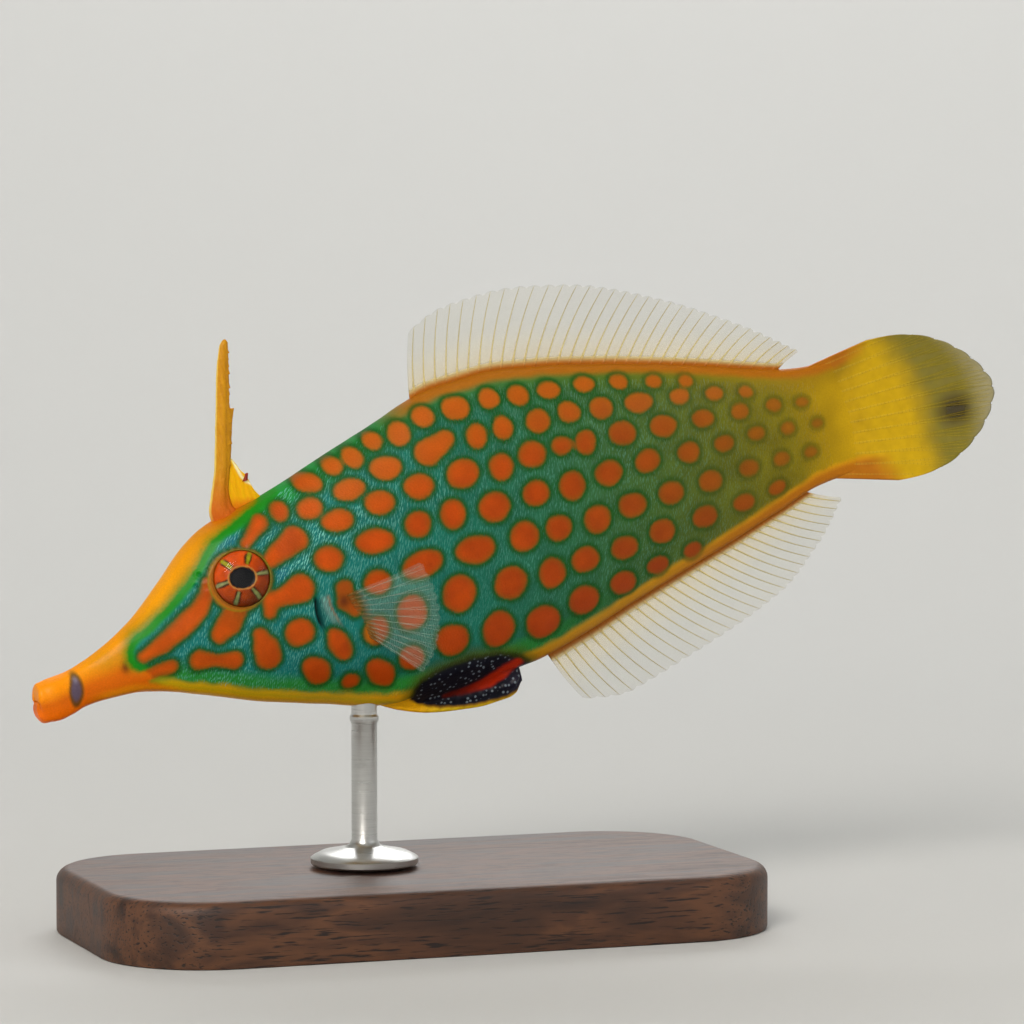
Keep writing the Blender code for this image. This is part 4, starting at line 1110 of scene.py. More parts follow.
def cornea_finish():
    """Cornea, clear living tissue with a wet, polished surface: it shows only as a gloss over the iris."""
    made, tree, shader = material("cornea_clear_and_wet")
    tree.nodes.remove(shader)
    clear = add(tree, "BsdfTransparent", {})
    gloss = add(tree, "BsdfAnisotropic", {"Roughness": 0.04})
    fresnel = add(tree, "Fresnel", {"IOR": 1.2})
    both = add(tree, "MixShader", {}, {0: fresnel, 1: clear, 2: gloss})
    fitted(tree, tree.nodes["Material Output"], {}, {"Surface": both})
    return made


def ball(name, side, swell, relief):
    """An eyeball or its cornea: a flattened ball that looks out squarely from the side of the head."""
    nothing_selected()
    bpy.ops.mesh.primitive_uv_sphere_add(segments=144, ring_count=80, radius=1)
    piece = named(name)
    flat = positions(piece)
    centre, looks, along_fish, up = eye_frame(side)
    out = np.hypot(flat[:, 0], flat[:, 1])
    turn = np.arctan2(flat[:, 1], flat[:, 0])
    radius = (EYE_RADIUS + swell) * out
    full = np.maximum(0, 1 - out ** EYE_FULLNESS) ** (1 / EYE_FULLNESS)
    depth = (EYE_HALF_DEPTH + swell) * np.where(flat[:, 2] > 0, full, np.minimum(flat[:, 2], 0))
    a, b = radius * np.cos(turn), radius * np.sin(turn)
    if relief:
        depth = depth + relief(a, b, flat[:, 2])
    shaped(piece, centre + along_fish * a[:, None] + up * b[:, None] + looks * depth[:, None])
    closed(piece, ends=False)
    return piece, a, b, flat[:, 2]


def pupil_depth(a, b):
    """How far inside the egg-shaped pupil each place on the iris is; its point looks forwards and down."""
    a, b = a - PUPIL_CENTRE[0], b - PUPIL_CENTRE[1]
    turn = np.arctan2(b, a)
    egg = 1.0 + 0.1 * np.cos(2 * (turn + math.radians(16)))
    egg += 0.06 * np.maximum(0, np.cos(turn - math.radians(195))) ** 3
    return 1.08 * egg - np.hypot(a, b)


def iris_relief(a, b, height):
    """The iris is dished, with a raised rim round the pupil, and the pupil's lens bulges a little in it."""
    inside = pupil_depth(a, b)
    dish = 0.12 * eased(-0.3, -0.8, inside) * eased(2.5, 2.1, np.hypot(a, b))
    raised = 0.05 * mound(inside + 0.12, 0.1) - dish
    return np.where(height > 0, raised - 0.1 * eased(0.0, 0.15, inside), 0.0)


def iris_colours(a, b, height):
    """Orange segments parted by pale spokes with dark sides, a thin pale ring, a blue-black pupil and
    painted shade at the rim.
    """
    out = np.hypot(a, b)
    inside = pupil_depth(a, b)
    points = np.stack((a, b, np.zeros(len(a))), axis=-1)
    colour = painted(
        "#983A02",
        ("#CC4C02", eased(-2.4, 2.4, b - 0.25 * a)),
        ("#5A2A04", 0.7 * blot(a, b, 0.6, -2.2, 0.8, 0.8)),
        ("#8A2404", 0.5 * blot(a, b, 1.9, 0.3, 0.8, 0.8)),
    )
    colour = colour * (1 + 0.3 * smooth_noise(points, 0.5, 2))[:, None]
    waver = 0.07 * smooth_noise(points, 0.5, 6)
    flank = 0.26 + 0.12 * smooth_noise(points, 0.6, 8)
    glint = (1 + 0.3 * smooth_noise(points, 0.35, 3))[:, None]
    for degrees, half, code in SPOKES:
        spoke = math.radians(degrees)
        off = np.abs(a * math.sin(spoke) - b * math.cos(spoke) + waver)
        ahead = a * math.cos(spoke) + b * math.sin(spoke)
        here = (ahead > 0) * eased(1.2, 1.4, out)
        widened = half * (0.75 + 0.35 * eased(1.3, 2.3, out))
        dark = here * eased(widened + flank, widened + flank - 0.22, off) * eased(2.6, 2.15, out)
        bar = here * eased(widened + 0.06, widened - 0.07, off) * eased(2.58, 2.42, out)
        colour = painted(colour, ("#180A04", 0.95 * dark), (linear(code) * glint, bar))
    colour = painted(
        colour,
        ("#B88038", eased(-0.16, -0.1, inside) * eased(0.02, -0.03, inside)),
        ("#04060C", eased(-0.02, 0.05, inside)),
        # Dark brown at the iris's rim, tucked under the lid: painted shade
        ("#5A2A08", 0.8 * eased(2.42, 2.6, out)),
    )
    colour[height < 0] = linear("#120806")
    return np.clip(colour, 0, 1)


def eye(name, side, iris, cornea):
    """One eye: the ball with its iris, and the clear cornea over it."""
    piece, a, b, height = ball(f"{name}ball", side, -0.05, iris_relief)
    note(piece, "iris", iris_colours(a, b, height))
    finished(piece, iris, "eye", name)
    cover, *_ = ball(f"{name}_cornea", side, 0.0, None)
    finished(cover, cornea, "eye", name)


# Dorsal spine and its web
def spine_finish():
    """Spine of a filefish, bone under thin skin grown rough with granules: dull golden, satin gloss, with a
    painted highlight along its front edge.
    """
    made, tree, shader = material("filefish_spine_bone_under_skin")
    place = fish_place(tree)
    streaks = add(tree, "Mapping", {"Rotation": (0.0, 0.25, 0.0), "Scale": (2.4, 2.4, 0.35)},
                  {"Vector": place})
    grain = add(tree, "TexNoise", {"Scale": 1.6, "Detail": 5.0}, {"Vector": streaks})
    colour = add(tree, "Mix", {**COLOURS, 6: tint("#B47404"), 7: tint("#D89A08")}, {0: grain})
    # front: a pale yellow line along the spine's front edge, a painted highlight
    for part, code in (("low", "#C86002"), ("front", "#F0D060"), ("small", "#861C04")):
        share = add(tree, "Attribute", {"attribute_name": part}).outputs["Fac"]
        colour = add(tree, "Mix", {**COLOURS, 7: tint(code)}, {0: share, 6: colour})
    granules = add(tree, "TexVoronoi", {"Scale": 5.5, "feature": "SMOOTH_F1"}, {"Vector": place})
    height = add(tree, "Math", {"operation": "MULTIPLY_ADD", 1: 1.2}, {0: grain, 2: granules})
    rough = add(tree, "MapRange", {3: 0.32, 4: 0.55}, {0: grain})
    surfaced(tree, shader, colour, height, (0.5, 0.00008),
             {"IOR": 1.5, "Specular IOR Level": 0.2, "Coat Weight": 0.1, "Coat Roughness": 0.25}, rough)
    return made


def spine_place(turn, height):
    """Points of the dorsal spine's surface by their turn round it from the rear and their height.

    Its rear edge carries a ridge that ends in a step, and two rows of small barbs that point down.
    """
    x, length, thick = (curve([(s[1], s[n]) for s in SPINE], height) for n in (0, 2, 3))
    low, high = SPINE[0][1], SPINE[-1][1]
    first_barb, last_barb = BARB_HEIGHTS
    end = np.sqrt(np.clip((high - height) / 0.4, 0, 1)) * np.clip((height - low) / 0.06, 0, 1)
    rear, aside = np.cos(turn), np.sin(turn)
    groove = 1 - 0.12 * mound(np.abs(aside) - 0.82, 0.13) * eased(25.4, 23.0, height)
    step = curve(FLANGE, height) * eased(FLANGE[-1][0] + 0.14, FLANGE[-1][0], height)
    tooth = height / BARB_PITCH + 0.5 * (aside > 0)
    uneven = 0.55 + 0.45 * np.sin(2.4 * np.floor(tooth))
    saw = (1 - tooth % 1) ** 1.6 * eased(0.0, 0.12, tooth % 1) * uneven
    corner = mound(np.abs(aside) - 0.42, 0.2) * (rear > 0)
    barb = BARB_LENGTH * saw * corner * eased(first_barb, first_barb + 1, height)
    barb = barb * eased(last_barb, last_barb - 0.5, height)
    rear_ridge = step * np.maximum(0, rear) ** 6
    narrowed = 1 - 0.25 * np.maximum(0, rear) ** 4
    px = x + (length / 2 * groove * rear + rear_ridge + barb * 0.9) * end
    py = (thick / 2 * groove * aside * narrowed + barb * 0.5 * np.sign(aside)) * end
    return np.stack((px, py, height - 0.4 * barb), axis=-1), x


def dorsal_spine(use):
    """The long first spine."""
    piece, along, around = grid("spine", SPINE_ROWS, SPINE_COLUMNS)
    height = between(SPINE[0][1], SPINE[-1][1], along)
    points, axis = spine_place(around * 2 * np.pi, height)
    rough = 0.022 * smooth_noise(points, 0.35, 4) + 0.03 * smooth_noise(points, 1.1, 5)
    out = unit(points - np.stack((axis, 0 * height, height), axis=-1))
    shaped(piece, points + out * rough[:, None])
    # The pale yellow line down the front edge is a painted highlight
    note(piece, "front", eased(0.84, 0.99, -np.cos(around * 2 * np.pi)) * eased(9.5, 12.0, height))
    note(piece, "low", eased(15.5, 10.5, height))
    closed(piece, ends=False)
    return finished(piece, use, "spine_yellow", "dorsal_spine")


def web_finish():
    """Web of skin behind the spine, thin living skin over soft fibres: yellow, let through by the light."""
    made, tree, shader = material("spine_web_of_thin_skin")
    rise, pale = (add(tree, "Attribute", {"attribute_name": part}).outputs["Fac"]
                  for part in ("rise", "pale"))
    fibres = add(tree, "Mapping", {"Rotation": (0.0, 0.45, 0.0), "Scale": (5.0, 1.0, 0.7)},
                 {"Vector": fish_place(tree)})
    grain = add(tree, "TexNoise", {"Scale": 1.0, "Detail": 4.0}, {"Vector": fibres})
    yellow = add(tree, "Mix", {**COLOURS, 6: tint("#E4A002"), 7: tint("#F0C404")}, {0: grain})
    white = add(tree, "Mix", {**COLOURS, 7: tint("#F2E8B8")}, {0: pale, 6: yellow})
    foot = add(tree, "MapRange", {1: 0.34, 2: 0.1}, {0: rise})
    orange = add(tree, "Mix", {**COLOURS, 7: tint("#D87808")}, {0: foot, 6: white})
    surfaced(tree, shader, orange, grain, (0.5, 0.00005),
             {"Roughness": 0.38, "Specular IOR Level": 0.2, "IOR": 1.4, "Subsurface Weight": 0.5,
              "Subsurface Radius": (1.0, 0.6, 0.2), "Subsurface Scale": 0.0006})
    return made


def dorsal_web(use, spine):
    """The web of skin from the spine down to the back, with the small second spine raised in it."""
    columns, rows = 60, 60
    piece, across, around = grid("spine_web", columns, 2 * rows)
    rise, side = rolled(around)
    foot = between(*WEB_FOOT, across)
    low = curve(BACK, foot) - 0.5
    x = between(foot, curve([(s[0], s[1]) for s in WEB_TOP], across), rise)
    x = x - WEB_TUCK * (1 - across) ** 2 * np.sin(np.pi * rise)
    z = between(low, curve([(s[0], s[2]) for s in WEB_TOP], across), rise)
    folds = 0.02 * np.sin(across * 34 + 3 * rise) * np.sin(np.pi * rise)
    thick = WEB_HALF * (1.6 - 0.9 * rise) * pinched(across, rise, columns / 2, rows / 2)
    shaped(piece, np.stack((x, folds + side * thick, z), axis=-1))
    note(piece, "rise", rise)
    note(piece, "pale", eased(-0.08, 0.14, chain_depth(x, z, WEB_STREAK)))
    closed(piece, ends=False)
    finished(piece, use, "spine_yellow", "dorsal_spine_web")

    small = rod("second_spine", SECOND_SPINE[0], SECOND_SPINE[1], SECOND_SPINE_RADIUS)
    note(small, "small", np.ones(len(small.data.vertices)))
    finished(small, spine, "spine_yellow")


def rod(name, foot, top, radius):
    """A tapered round rod between two places (x, z) in the fish's middle plane, closed at both ends."""
    piece, along, around = grid(name, 18, 20)
    x, z = (between(low, high, along) for low, high in zip(foot, top))
    ends = np.sqrt(np.clip(np.minimum(along / 0.02, (1 - along) / 0.12), 0, 1))
    size = radius * (1.1 - 0.55 * along) * ends
    turn = around * 2 * np.pi
    shaped(piece, np.stack((x + size * np.cos(turn), size * np.sin(turn), z), axis=-1))
    return closed(piece, ends=False)


# Fins
def fin_finish(name, joints):
    """Fin of a fish, skin as thin as film over soft rays of jointed bone: clear, coloured from its root.

    Each piece carries its colour and how much it covers; a ray is finely jointed across.
    """
    made, tree, shader = material(name)
    film = add(tree, "Attribute", {"attribute_name": "film"})
    cover, reach = (add(tree, "Attribute", {"attribute_name": part}).outputs["Fac"]
                    for part in ("cover", "reach"))
    cloud = add(tree, "TexNoise", {"Scale": 1.2, "Detail": 3.0}, {"Vector": fish_place(tree)})
    clouded = add(tree, "MapRange", {3: 0.92, 4: 1.08}, {0: cloud})
    turns = add(tree, "Math", {"operation": "PINGPONG", 1: 0.2}, {0: reach})
    joint = add(tree, "MapRange", {1: 0.0, 2: 0.05, 3: 1.0 - joints, 4: 1.0}, {0: turns})
    both = add(tree, "Math", {"operation": "MULTIPLY"}, {0: clouded, 1: joint})
    shaded = add(tree, "Mix", MULTIPLIED, {6: film, 7: both})
    thinned = add(tree, "Math", {"operation": "MULTIPLY", "use_clamp": True}, {0: cover, 1: clouded})
    surfaced(tree, shader, shaded, both, (0.4, 0.00004),
             {"Roughness": 0.32, "IOR": 1.4, "Specular IOR Level": 0.3})
    fitted(tree, shader, {}, {"Alpha": thinned})
    return made


def soft_fin_look(points, reach):
    """Colour and cover of the soft fins: orange at the skin, cream over the root, fading till clear."""
    colour = painted(
        FIN_BASE_ORANGE,
        ("#D8C480", eased(0.1, 0.7, reach)),
        ("#B4B094", eased(1.0, 5.0, reach)),
    )
    return colour, 0.09 + 0.22 * np.exp(-np.maximum(reach, 0) / 2.8) + 0.65 * eased(0.9, 0.3, reach)


def tail_look(points, reach):
    """Colour and cover of the tail fin: the stem's, yellow, then an olive film with a dark spot.

    Its margin is paler and clearer.
    """
    x, z = points[:, 0], points[:, 2]
    past = x - curve(TAIL_YELLOW, z) + 0.6 * smooth_noise(points, 2.0, 7)
    folded = TAIL_MIDDLE + (z - TAIL_MIDDLE) / (1 + 0.035 * (x - SKIN_END))
    stem = np.stack((x, points[:, 1], folded), axis=-1)
    beside = np.maximum(0, np.abs(z - TAIL_MIDDLE) - 3.5)
    spread = x + 0.5 * smooth_noise(points, 1.4, 3) - 0.4 * beside
    spot_x, spot_z, length, height = TAIL_SPOT
    from_spot = np.hypot((x - spot_x) / length, (z - spot_z) / height)
    edge = reach + 2.4 * (np.abs(z) / 6) ** 2
    margin = eased(TAIL_LENGTH - 3.6, TAIL_LENGTH - 0.4, edge)
    colour = painted(
        markings(stem)["ground"],
        ("#CCA404", eased(83.4, 86.8, spread)),
        ("#85781E", eased(-2.2, 1.8, past)),
        ("#2E2206", 0.9 * eased(1.5, 0.2, from_spot)),
        ("#B0A678", 0.8 * margin),
    )
    return colour, 0.84 + 0.14 * eased(2.2, -1.8, past) - 0.14 * margin


def pectoral_look(points, reach):
    """Colour and cover of the pectoral fins: hardly more than a film of water."""
    return painted("#8A6A30", ("#A8BEA8", eased(0.3, 1.6, reach))), 0.07 + 0.18 * eased(1.4, 0.2, reach)


def soft_fin_place(profile, up, base, lengths, leans, share, out):
    """The middle sheet of a soft fin by its share along the base and out, and its reach in millimetres."""
    x = between(*base, share)
    reach = curve(lengths, share) * out
    curl = np.radians(curve(leans, share)) + FIN_CURL * np.maximum(out, 0)
    swing = FIN_WAVE * np.maximum(out, 0) ** 1.5
    y = swing * np.sin(2 * np.pi * (x - base[0]) / FIN_WAVE_LENGTH)
    z = curve(profile, x) + up * reach * np.cos(curl)
    return np.stack((x + reach * np.sin(curl), y, z), axis=-1), reach


def dyed(piece, points, reach, look):
    """Notes the colour and the cover that a look gives to the points of a fin's piece."""
    colour, cover = look(points, reach)
    note(piece, "film", np.clip(colour, 0, 1))
    note(piece, "cover", cover)
    note(piece, "reach", reach)


def film_half(film, reach):
    """Half thickness of a fin's membrane, thicker at its root."""
    half, added, full, ends = film
    return half + added * eased(ends, full, reach)


def notched(from_ray, out, length):
    """The share of its reach that a membrane keeps: it falls short between two rays, at the edge."""
    return 1 - RAY_NOTCH * from_ray ** 2 * out ** 6 / length


def sheet(name, columns, rows, rays, middle, film, look):
    """A thin closed sheet of fin membrane, scalloped between its rays, from a rolled grid.

    middle gives the sheet's points and reach by the share along and out.
    """
    piece, share, around = grid(name, columns, 2 * rows)
    out, side = rolled(around)
    from_ray = np.abs(share * rays - np.floor(share * rays) - 0.5) * 2
    points, reach = middle(share, out, from_ray)
    points[:, 1] += side * (film_half(film, reach) * pinched(share, out, columns, rows))
    shaped(piece, points)
    dyed(piece, points, reach, look)
    return closed(piece, ends=False)


def rays(name, lines, film, raised, look, steps, sides=8):
    """Fin rays joined in one mesh, each (line, start, end, size).

    The line gives the ray's points by the share out, and raised is how far the rays stand out of the
    membrane at the root and at the edge.
    """
    made = []
    for n, (line, start, end, share) in enumerate(lines):
        piece, part, around = grid(f"{name}_{n}", steps, sides)
        out = between(start, end, part)
        points, reach = line(out)
        size = film_half(film, reach) + share * between(*raised, out)
        size = size * np.sqrt(np.clip(np.minimum(part, 1 - part) * steps / 2, 0, 1))
        turn = (around * 2 * np.pi)[:, None]
        ahead, _ = line(np.minimum(out + 0.02, 1.02))
        behind, _ = line(np.maximum(out - 0.02, 0))
        way = unit(ahead - behind)
        aside = unit(np.cross(way, (0.0, 1.0, 0.0)))
        ring = aside * np.cos(turn) + np.cross(aside, way) * np.sin(turn)
        shaped(piece, points + ring * size[:, None])
        dyed(piece, points, reach, look)
        made.append(closed(piece, ends=False))
    nothing_selected()
    for piece in made:
        piece.select_set(True)
    bpy.context.view_layer.objects.active = made[0]
    bpy.ops.object.join()
    return named(name)


def firmer(look, code, share, cover):
    """The look of a fin's rays: the fin's own, past the root nearer to a colour and covering more."""
    def ray_look(points, reach):
        colour, film = look(points, reach)
        return painted(colour, (code, share * eased(0.3, 1.4, reach))), film + (1 - film) * cover
    return ray_look


def soft_fin(name, node, form, count, membrane, bone):
    """A long soft fin: its clear membrane, swung in a gentle wave, and the rays in it.

    form is its profile, the way it stands (1 up, -1 down), its base and its rays' lengths and leans.
    """
    root = -FIN_ROOT / 6.0
    lengths = form[3]

    def middle(share, out, from_ray):
        short = notched(from_ray, out, curve(lengths, share))
        return soft_fin_place(*form, share, root + (short - root) * out)

    piece = sheet(f"{name}_membrane", count * 8, FIN_ROWS, count, middle, SOFT_FILM, soft_fin_look)
    finished(piece, membrane, "clear_fin", node)

    def line(n):
        return lambda out: soft_fin_place(*form, (n + 0.5) / count + 0 * out, root + (1.01 - root) * out)

    lines = [(line(n), 0.0, 1.0, 1.0) for n in range(count)]
    look = firmer(soft_fin_look, "#E2D49C", 0.7, 0.65)
    made = rays(f"{name}_rays", lines, SOFT_FILM, (0.05, -0.015), look, FIN_RAY_STEPS)
    finished(made, bone, "clear_fin")


def tail_place(share, out, short=1.0):
    """The middle sheet of the tail fin, by its share from the lower edge (-1) to the upper (1) and out."""
    edge = np.abs(share)
    cut, power, corner_cut, corner_power = TAIL_ROUNDING
    length = TAIL_LENGTH * (1 - cut * edge ** power - corner_cut * edge ** corner_power)
    reach = length * out * short
    turn = TAIL_TURN + TAIL_SPREAD * share
    y = TAIL_WAVE * np.maximum(out, 0) ** 2 * np.sin(np.pi * (share + 0.4))
    z = TAIL_MIDDLE + TAIL_ROOT_HALF * share + reach * np.sin(turn)
    return np.stack((TAIL_ROOT_X + reach * np.cos(turn), y, z), axis=-1), reach


def tail_fin(membrane, bone):
    """The rounded tail fin: yellow skin that clears towards the edge, on rays that split twice."""
    root = -0.02

    def middle(share, out, from_ray):
        return tail_place(2 * share - 1, between(root, 1, out), notched(from_ray, out, TAIL_LENGTH))

    piece = sheet("tail_membrane", TAIL_RAYS * 12, 80, TAIL_RAYS, middle, TAIL_FILM, tail_look)
    finished(piece, membrane, "yellow_fin", "tail_fin")

    def branch(n, turns):
        def at(out):
            apart = sum(turn * np.maximum(0, out - fork) for turn, fork in turns)
            share = np.clip((2 * n + 1) / TAIL_RAYS - 1 + apart * 2 / TAIL_RAYS, -0.98, 0.98)
            return tail_place(share, between(root, 1.0, out))
        return at

    (fork, part, begins, ends), (next_fork, next_part, next_begins, next_ends) = TAIL_FORKS
    lines = [(branch(n, ()), 0.0, 1.0, 0.7) for n in (0, TAIL_RAYS - 1)]
    for n in range(1, TAIL_RAYS - 1):
        lines.append((branch(n, ()), 0.0, ends, 1.0))
        for first in ((-part, fork), (part, fork)):
            lines.append((branch(n, (first,)), begins, next_ends, 0.8))
            for second in ((-next_part, next_fork), (next_part, next_fork)):
                lines.append((branch(n, (first, second)), next_begins, 1.0, 0.6))
    made = rays("tail_rays", lines, TAIL_FILM, (0.055, 0.025), firmer(tail_look, "#C8AC38", 0.2, 0.3), 18)
    finished(made, bone, "yellow_fin")


def pectoral_fin(name, side, membrane, bone):
    """A fan of rays from behind the gill opening, held a little out from the body."""
    def place(share, out):
        x, z = (between(high, low, share) for high, low in zip(PECTORAL_TOP, PECTORAL_FOOT))
        turn = np.radians(between(PECTORAL_UP, PECTORAL_DOWN, share))
        reach = PECTORAL_LENGTH * (1 - 0.5 * (share - 0.3) ** 2) * out
        flat = reach * math.cos(PECTORAL_FLARE)
        bow = PECTORAL_BOW * np.sin(np.pi * np.clip(out, 0, 1))
        y = side * (side_y(x, z) + 0.15) + side * (reach * math.sin(PECTORAL_FLARE) + bow)
        return np.stack((x + flat * np.cos(turn), y, z + flat * np.sin(turn)), axis=-1), reach

    root = -0.06

    def middle(share, out, from_ray):
        return place(share, between(root, 1, out) * notched(from_ray, out, PECTORAL_LENGTH))

    piece = sheet(f"{name}_membrane", PECTORAL_RAYS * 10, 40, PECTORAL_RAYS, middle, SOFT_FILM,
                  pectoral_look)
    finished(piece, membrane, "clear_fin", f"{name}_fin")

    fork, part, begins, ends = PECTORAL_FORK

    def branch(n, turn):
        def at(out):
            share = (n + 0.5 + turn * np.maximum(0, out - fork)) / PECTORAL_RAYS
            return place(share, between(root, 1.0, out))
        return at

    lines = []
    for n in range(PECTORAL_RAYS):
        lines.append((branch(n, 0), 0.0, ends, 1.0))
        lines.extend((branch(n, turn), begins, 1.0, 0.8) for turn in (-part, part))
    look = firmer(pectoral_look, "#A0B8A6", 0.5, 0.12)
    made = rays(f"{name}_rays", lines, SOFT_FILM, (0.01, -0.025), look, 14)
    finished(made, bone, "clear_fin")


# Flap under the belly
def flap_half(x, z, down):
    """Half thickness of the flap: the belly's flanks come down into it, and it thins to its edge."""
    foot = curve(BELLY, x) + KEEL_ROUND
    flank = side_y(x, foot)
    step = 0.2
    slope = (side_y(x, foot + step) - flank) / step
    inside = side_y(x, z) - 0.05 * eased(0.0, 0.2, z - foot)
    spread = np.where(z > foot, inside, flank + slope * (z - foot))
    spread = spread - FLAP_END_FADE * eased(42.8, 45.2, x) - FLAP_END_FADE * eased(33.8, 31.0, x)
    thin = FLAP_EDGE_HALF + 0.14 * (1 - down)
    near = np.maximum(FLAP_FILLET - np.abs(spread - thin), 0) / FLAP_FILLET
    joined = np.maximum(spread, thin) + near ** 2 * FLAP_FILLET / 4
    return np.where(z > foot, np.maximum(spread, 0.05), joined)


def pelvic_flap(use):
    """The pleated flap of skin under the belly, with the pelvic bone raised in it and a thin yellow edge."""
    columns, rows = 170, 60
    piece, share, around = grid("belly_flap", columns, 2 * rows)
    down, side = rolled(around)
    x = between(*FLAP_BASE, share)
    edge = curve(FLAP_EDGE, x) + 0.5 * eased(44.3, 45.2, x)
    z = between(curve(BELLY, x) + 0.7, edge, down)
    pleat = np.sin(2 * np.pi * (share * FLAP_PLEATS + 0.8 * down))
    open_down = eased(0.15, 0.45, down) * eased(1.0, 0.8, down) * eased(0.1, 0.3, share)
    half = flap_half(x, z, down) + PELVIC_LIFT * share * mound(down - 0.55 - 0.1 * share, 0.1)
    half = half * pinched(share, down, columns / 5, rows / 3)
    points = np.stack((x - 0.1 * down * share, side * half + 0.055 * pleat * open_down, z), axis=-1)
    shaped(piece, points)
    colour, flecks = dark_skin(x, z)
    patch = area_depth(x, z, PATCH_EDGE) + 0.1 * smooth_noise(points, 0.8, 2)
    colour = painted(
        BELLY_YELLOW,
        ("#DDB820", eased(34.0, 37.0, x)),
        ("#8A5406", 0.8 * eased(-0.4, -0.1, patch) * eased(34.0, 36.0, x)),
        (colour, eased(-0.25, 0.1, patch)),
    )
    note(piece, "mark", np.clip(colour, 0, 1))
    note(piece, "flecks", flecks * eased(0.0, 0.25, patch))
    note(piece, "depth", np.full(len(points), 2.0))
    closed(piece, ends=False)
    return finished(piece, use, "dark_flap", "pelvic_flap")


# Stand
def wood_finish():
    """Walnut, planed, sanded and oiled: dark brown, with long grain lines, open pores and a low sheen."""
    made, tree, shader = material("walnut_oiled")
    place = add(tree, "TexCoord", {}).outputs["Object"]
    board = add(tree, "Mapping", {"Scale": (1000 / 9.0, 1000 / 1.1, 1000 / 1.6)}, {"Vector": place})
    rings = add(tree, "TexNoise", {"Scale": 0.55, "Detail": 5.0, "Distortion": 0.6}, {"Vector": board})
    ramp = add(tree, "ValToRGB", {}, {"Fac": rings})
    ramp_stops(ramp, ((0.3, tint("#2A170D")), (0.46, tint("#4A2C1A")), (0.55, tint("#5E3A22")),
                      (0.72, tint("#3A2114"))))
    long_pores = add(tree, "Mapping", {"Scale": (1000 / 2.6, 1000 / 0.22, 1000 / 0.22)}, {"Vector": place})
    pores = add(tree, "TexNoise", {"Scale": 1.0, "Detail": 2.0}, {"Vector": long_pores})
    pore = add(tree, "MapRange", {1: 0.56, 2: 0.66}, {0: pores})
    darkened = add(tree, "Mix", {**COLOURS, 7: tint("#1A0E08")}, {0: pore, 6: ramp})
    rough = add(tree, "MapRange", {3: 0.42, 4: 0.62}, {0: rings})
    surfaced(tree, shader, darkened, pore, (0.3, 0.00008), {"IOR": 1.5}, rough, invert=True)
    return made


def steel_finish():
    """Stainless steel bar, turned and brushed round its axis: grey metal with fine rings in its shine."""
    made, tree, shader = material("stainless_steel_turned")
    place = add(tree, "TexCoord", {}).outputs["Object"]
    turned = add(tree, "Mapping", {"Scale": (1000 / 4.0, 1000 / 4.0, 1000 / 0.09)}, {"Vector": place})
    lines = add(tree, "TexNoise", {"Scale": 1.0, "Detail": 3.0}, {"Vector": turned})
    colour = add(tree, "Mix", {**COLOURS, 6: tint("#B4B4B2"), 7: tint("#D2D2D0")}, {0: lines})
    rough = add(tree, "MapRange", {3: 0.22, 4: 0.38}, {0: lines})
    surfaced(tree, shader, colour, lines, (0.15, 0.00002), {"Metallic": 1.0}, rough)
    return made


def chosen_edges(piece, wanted):
    """Selects, in edit mode, the edges whose two ends pass a test on their places in millimetres."""
    places = positions(piece) / MM
    ends = np.empty(2 * len(piece.data.edges), dtype=np.int32)
    piece.data.edges.foreach_get("vertices", ends)
    first, second = ends.reshape(-1, 2).T
    picked = wanted(places[first], places[second])
    bpy.context.tool_settings.mesh_select_mode = (False, True, False)
    piece.data.polygons.foreach_set("select", np.zeros(len(piece.data.polygons), bool))
    piece.data.vertices.foreach_set("select", np.zeros(len(piece.data.vertices), bool))
    piece.data.edges.foreach_set("select", picked)
    bpy.ops.object.mode_set(mode="EDIT")


def stand_base(use):
    """A flat board with round corners and softened edges."""
    nothing_selected()
    size = (BASE_LENGTH * MM, BASE_DEPTH * MM, BASE_HEIGHT * MM)
    bpy.ops.mesh.primitive_cube_add(size=1, location=(0, 0, BASE_HEIGHT * MM / 2), scale=size)
    piece = named("base_board")
    bpy.ops.object.transform_apply(location=True, rotation=True, scale=True)
    softened = (
        (lambda a, b: np.abs(a[:, 2] - b[:, 2]) > 1, BASE_CORNER, 16),
        (lambda a, b: np.minimum(a[:, 2], b[:, 2]) > BASE_HEIGHT - 0.01, BASE_BEVEL, 6),
        (lambda a, b: np.maximum(a[:, 2], b[:, 2]) < 0.01, BASE_FOOT_BEVEL, 2),
    )
    for wanted, offset, segments in softened:
        chosen_edges(piece, wanted)
        bpy.ops.mesh.bevel(offset=offset * MM, segments=segments, affect="EDGES")
        bpy.ops.object.mode_set(mode="OBJECT")
    bpy.ops.object.shade_smooth_by_angle(angle=math.radians(30))
    return finished(piece, use, "dark_wood", "stand_base")


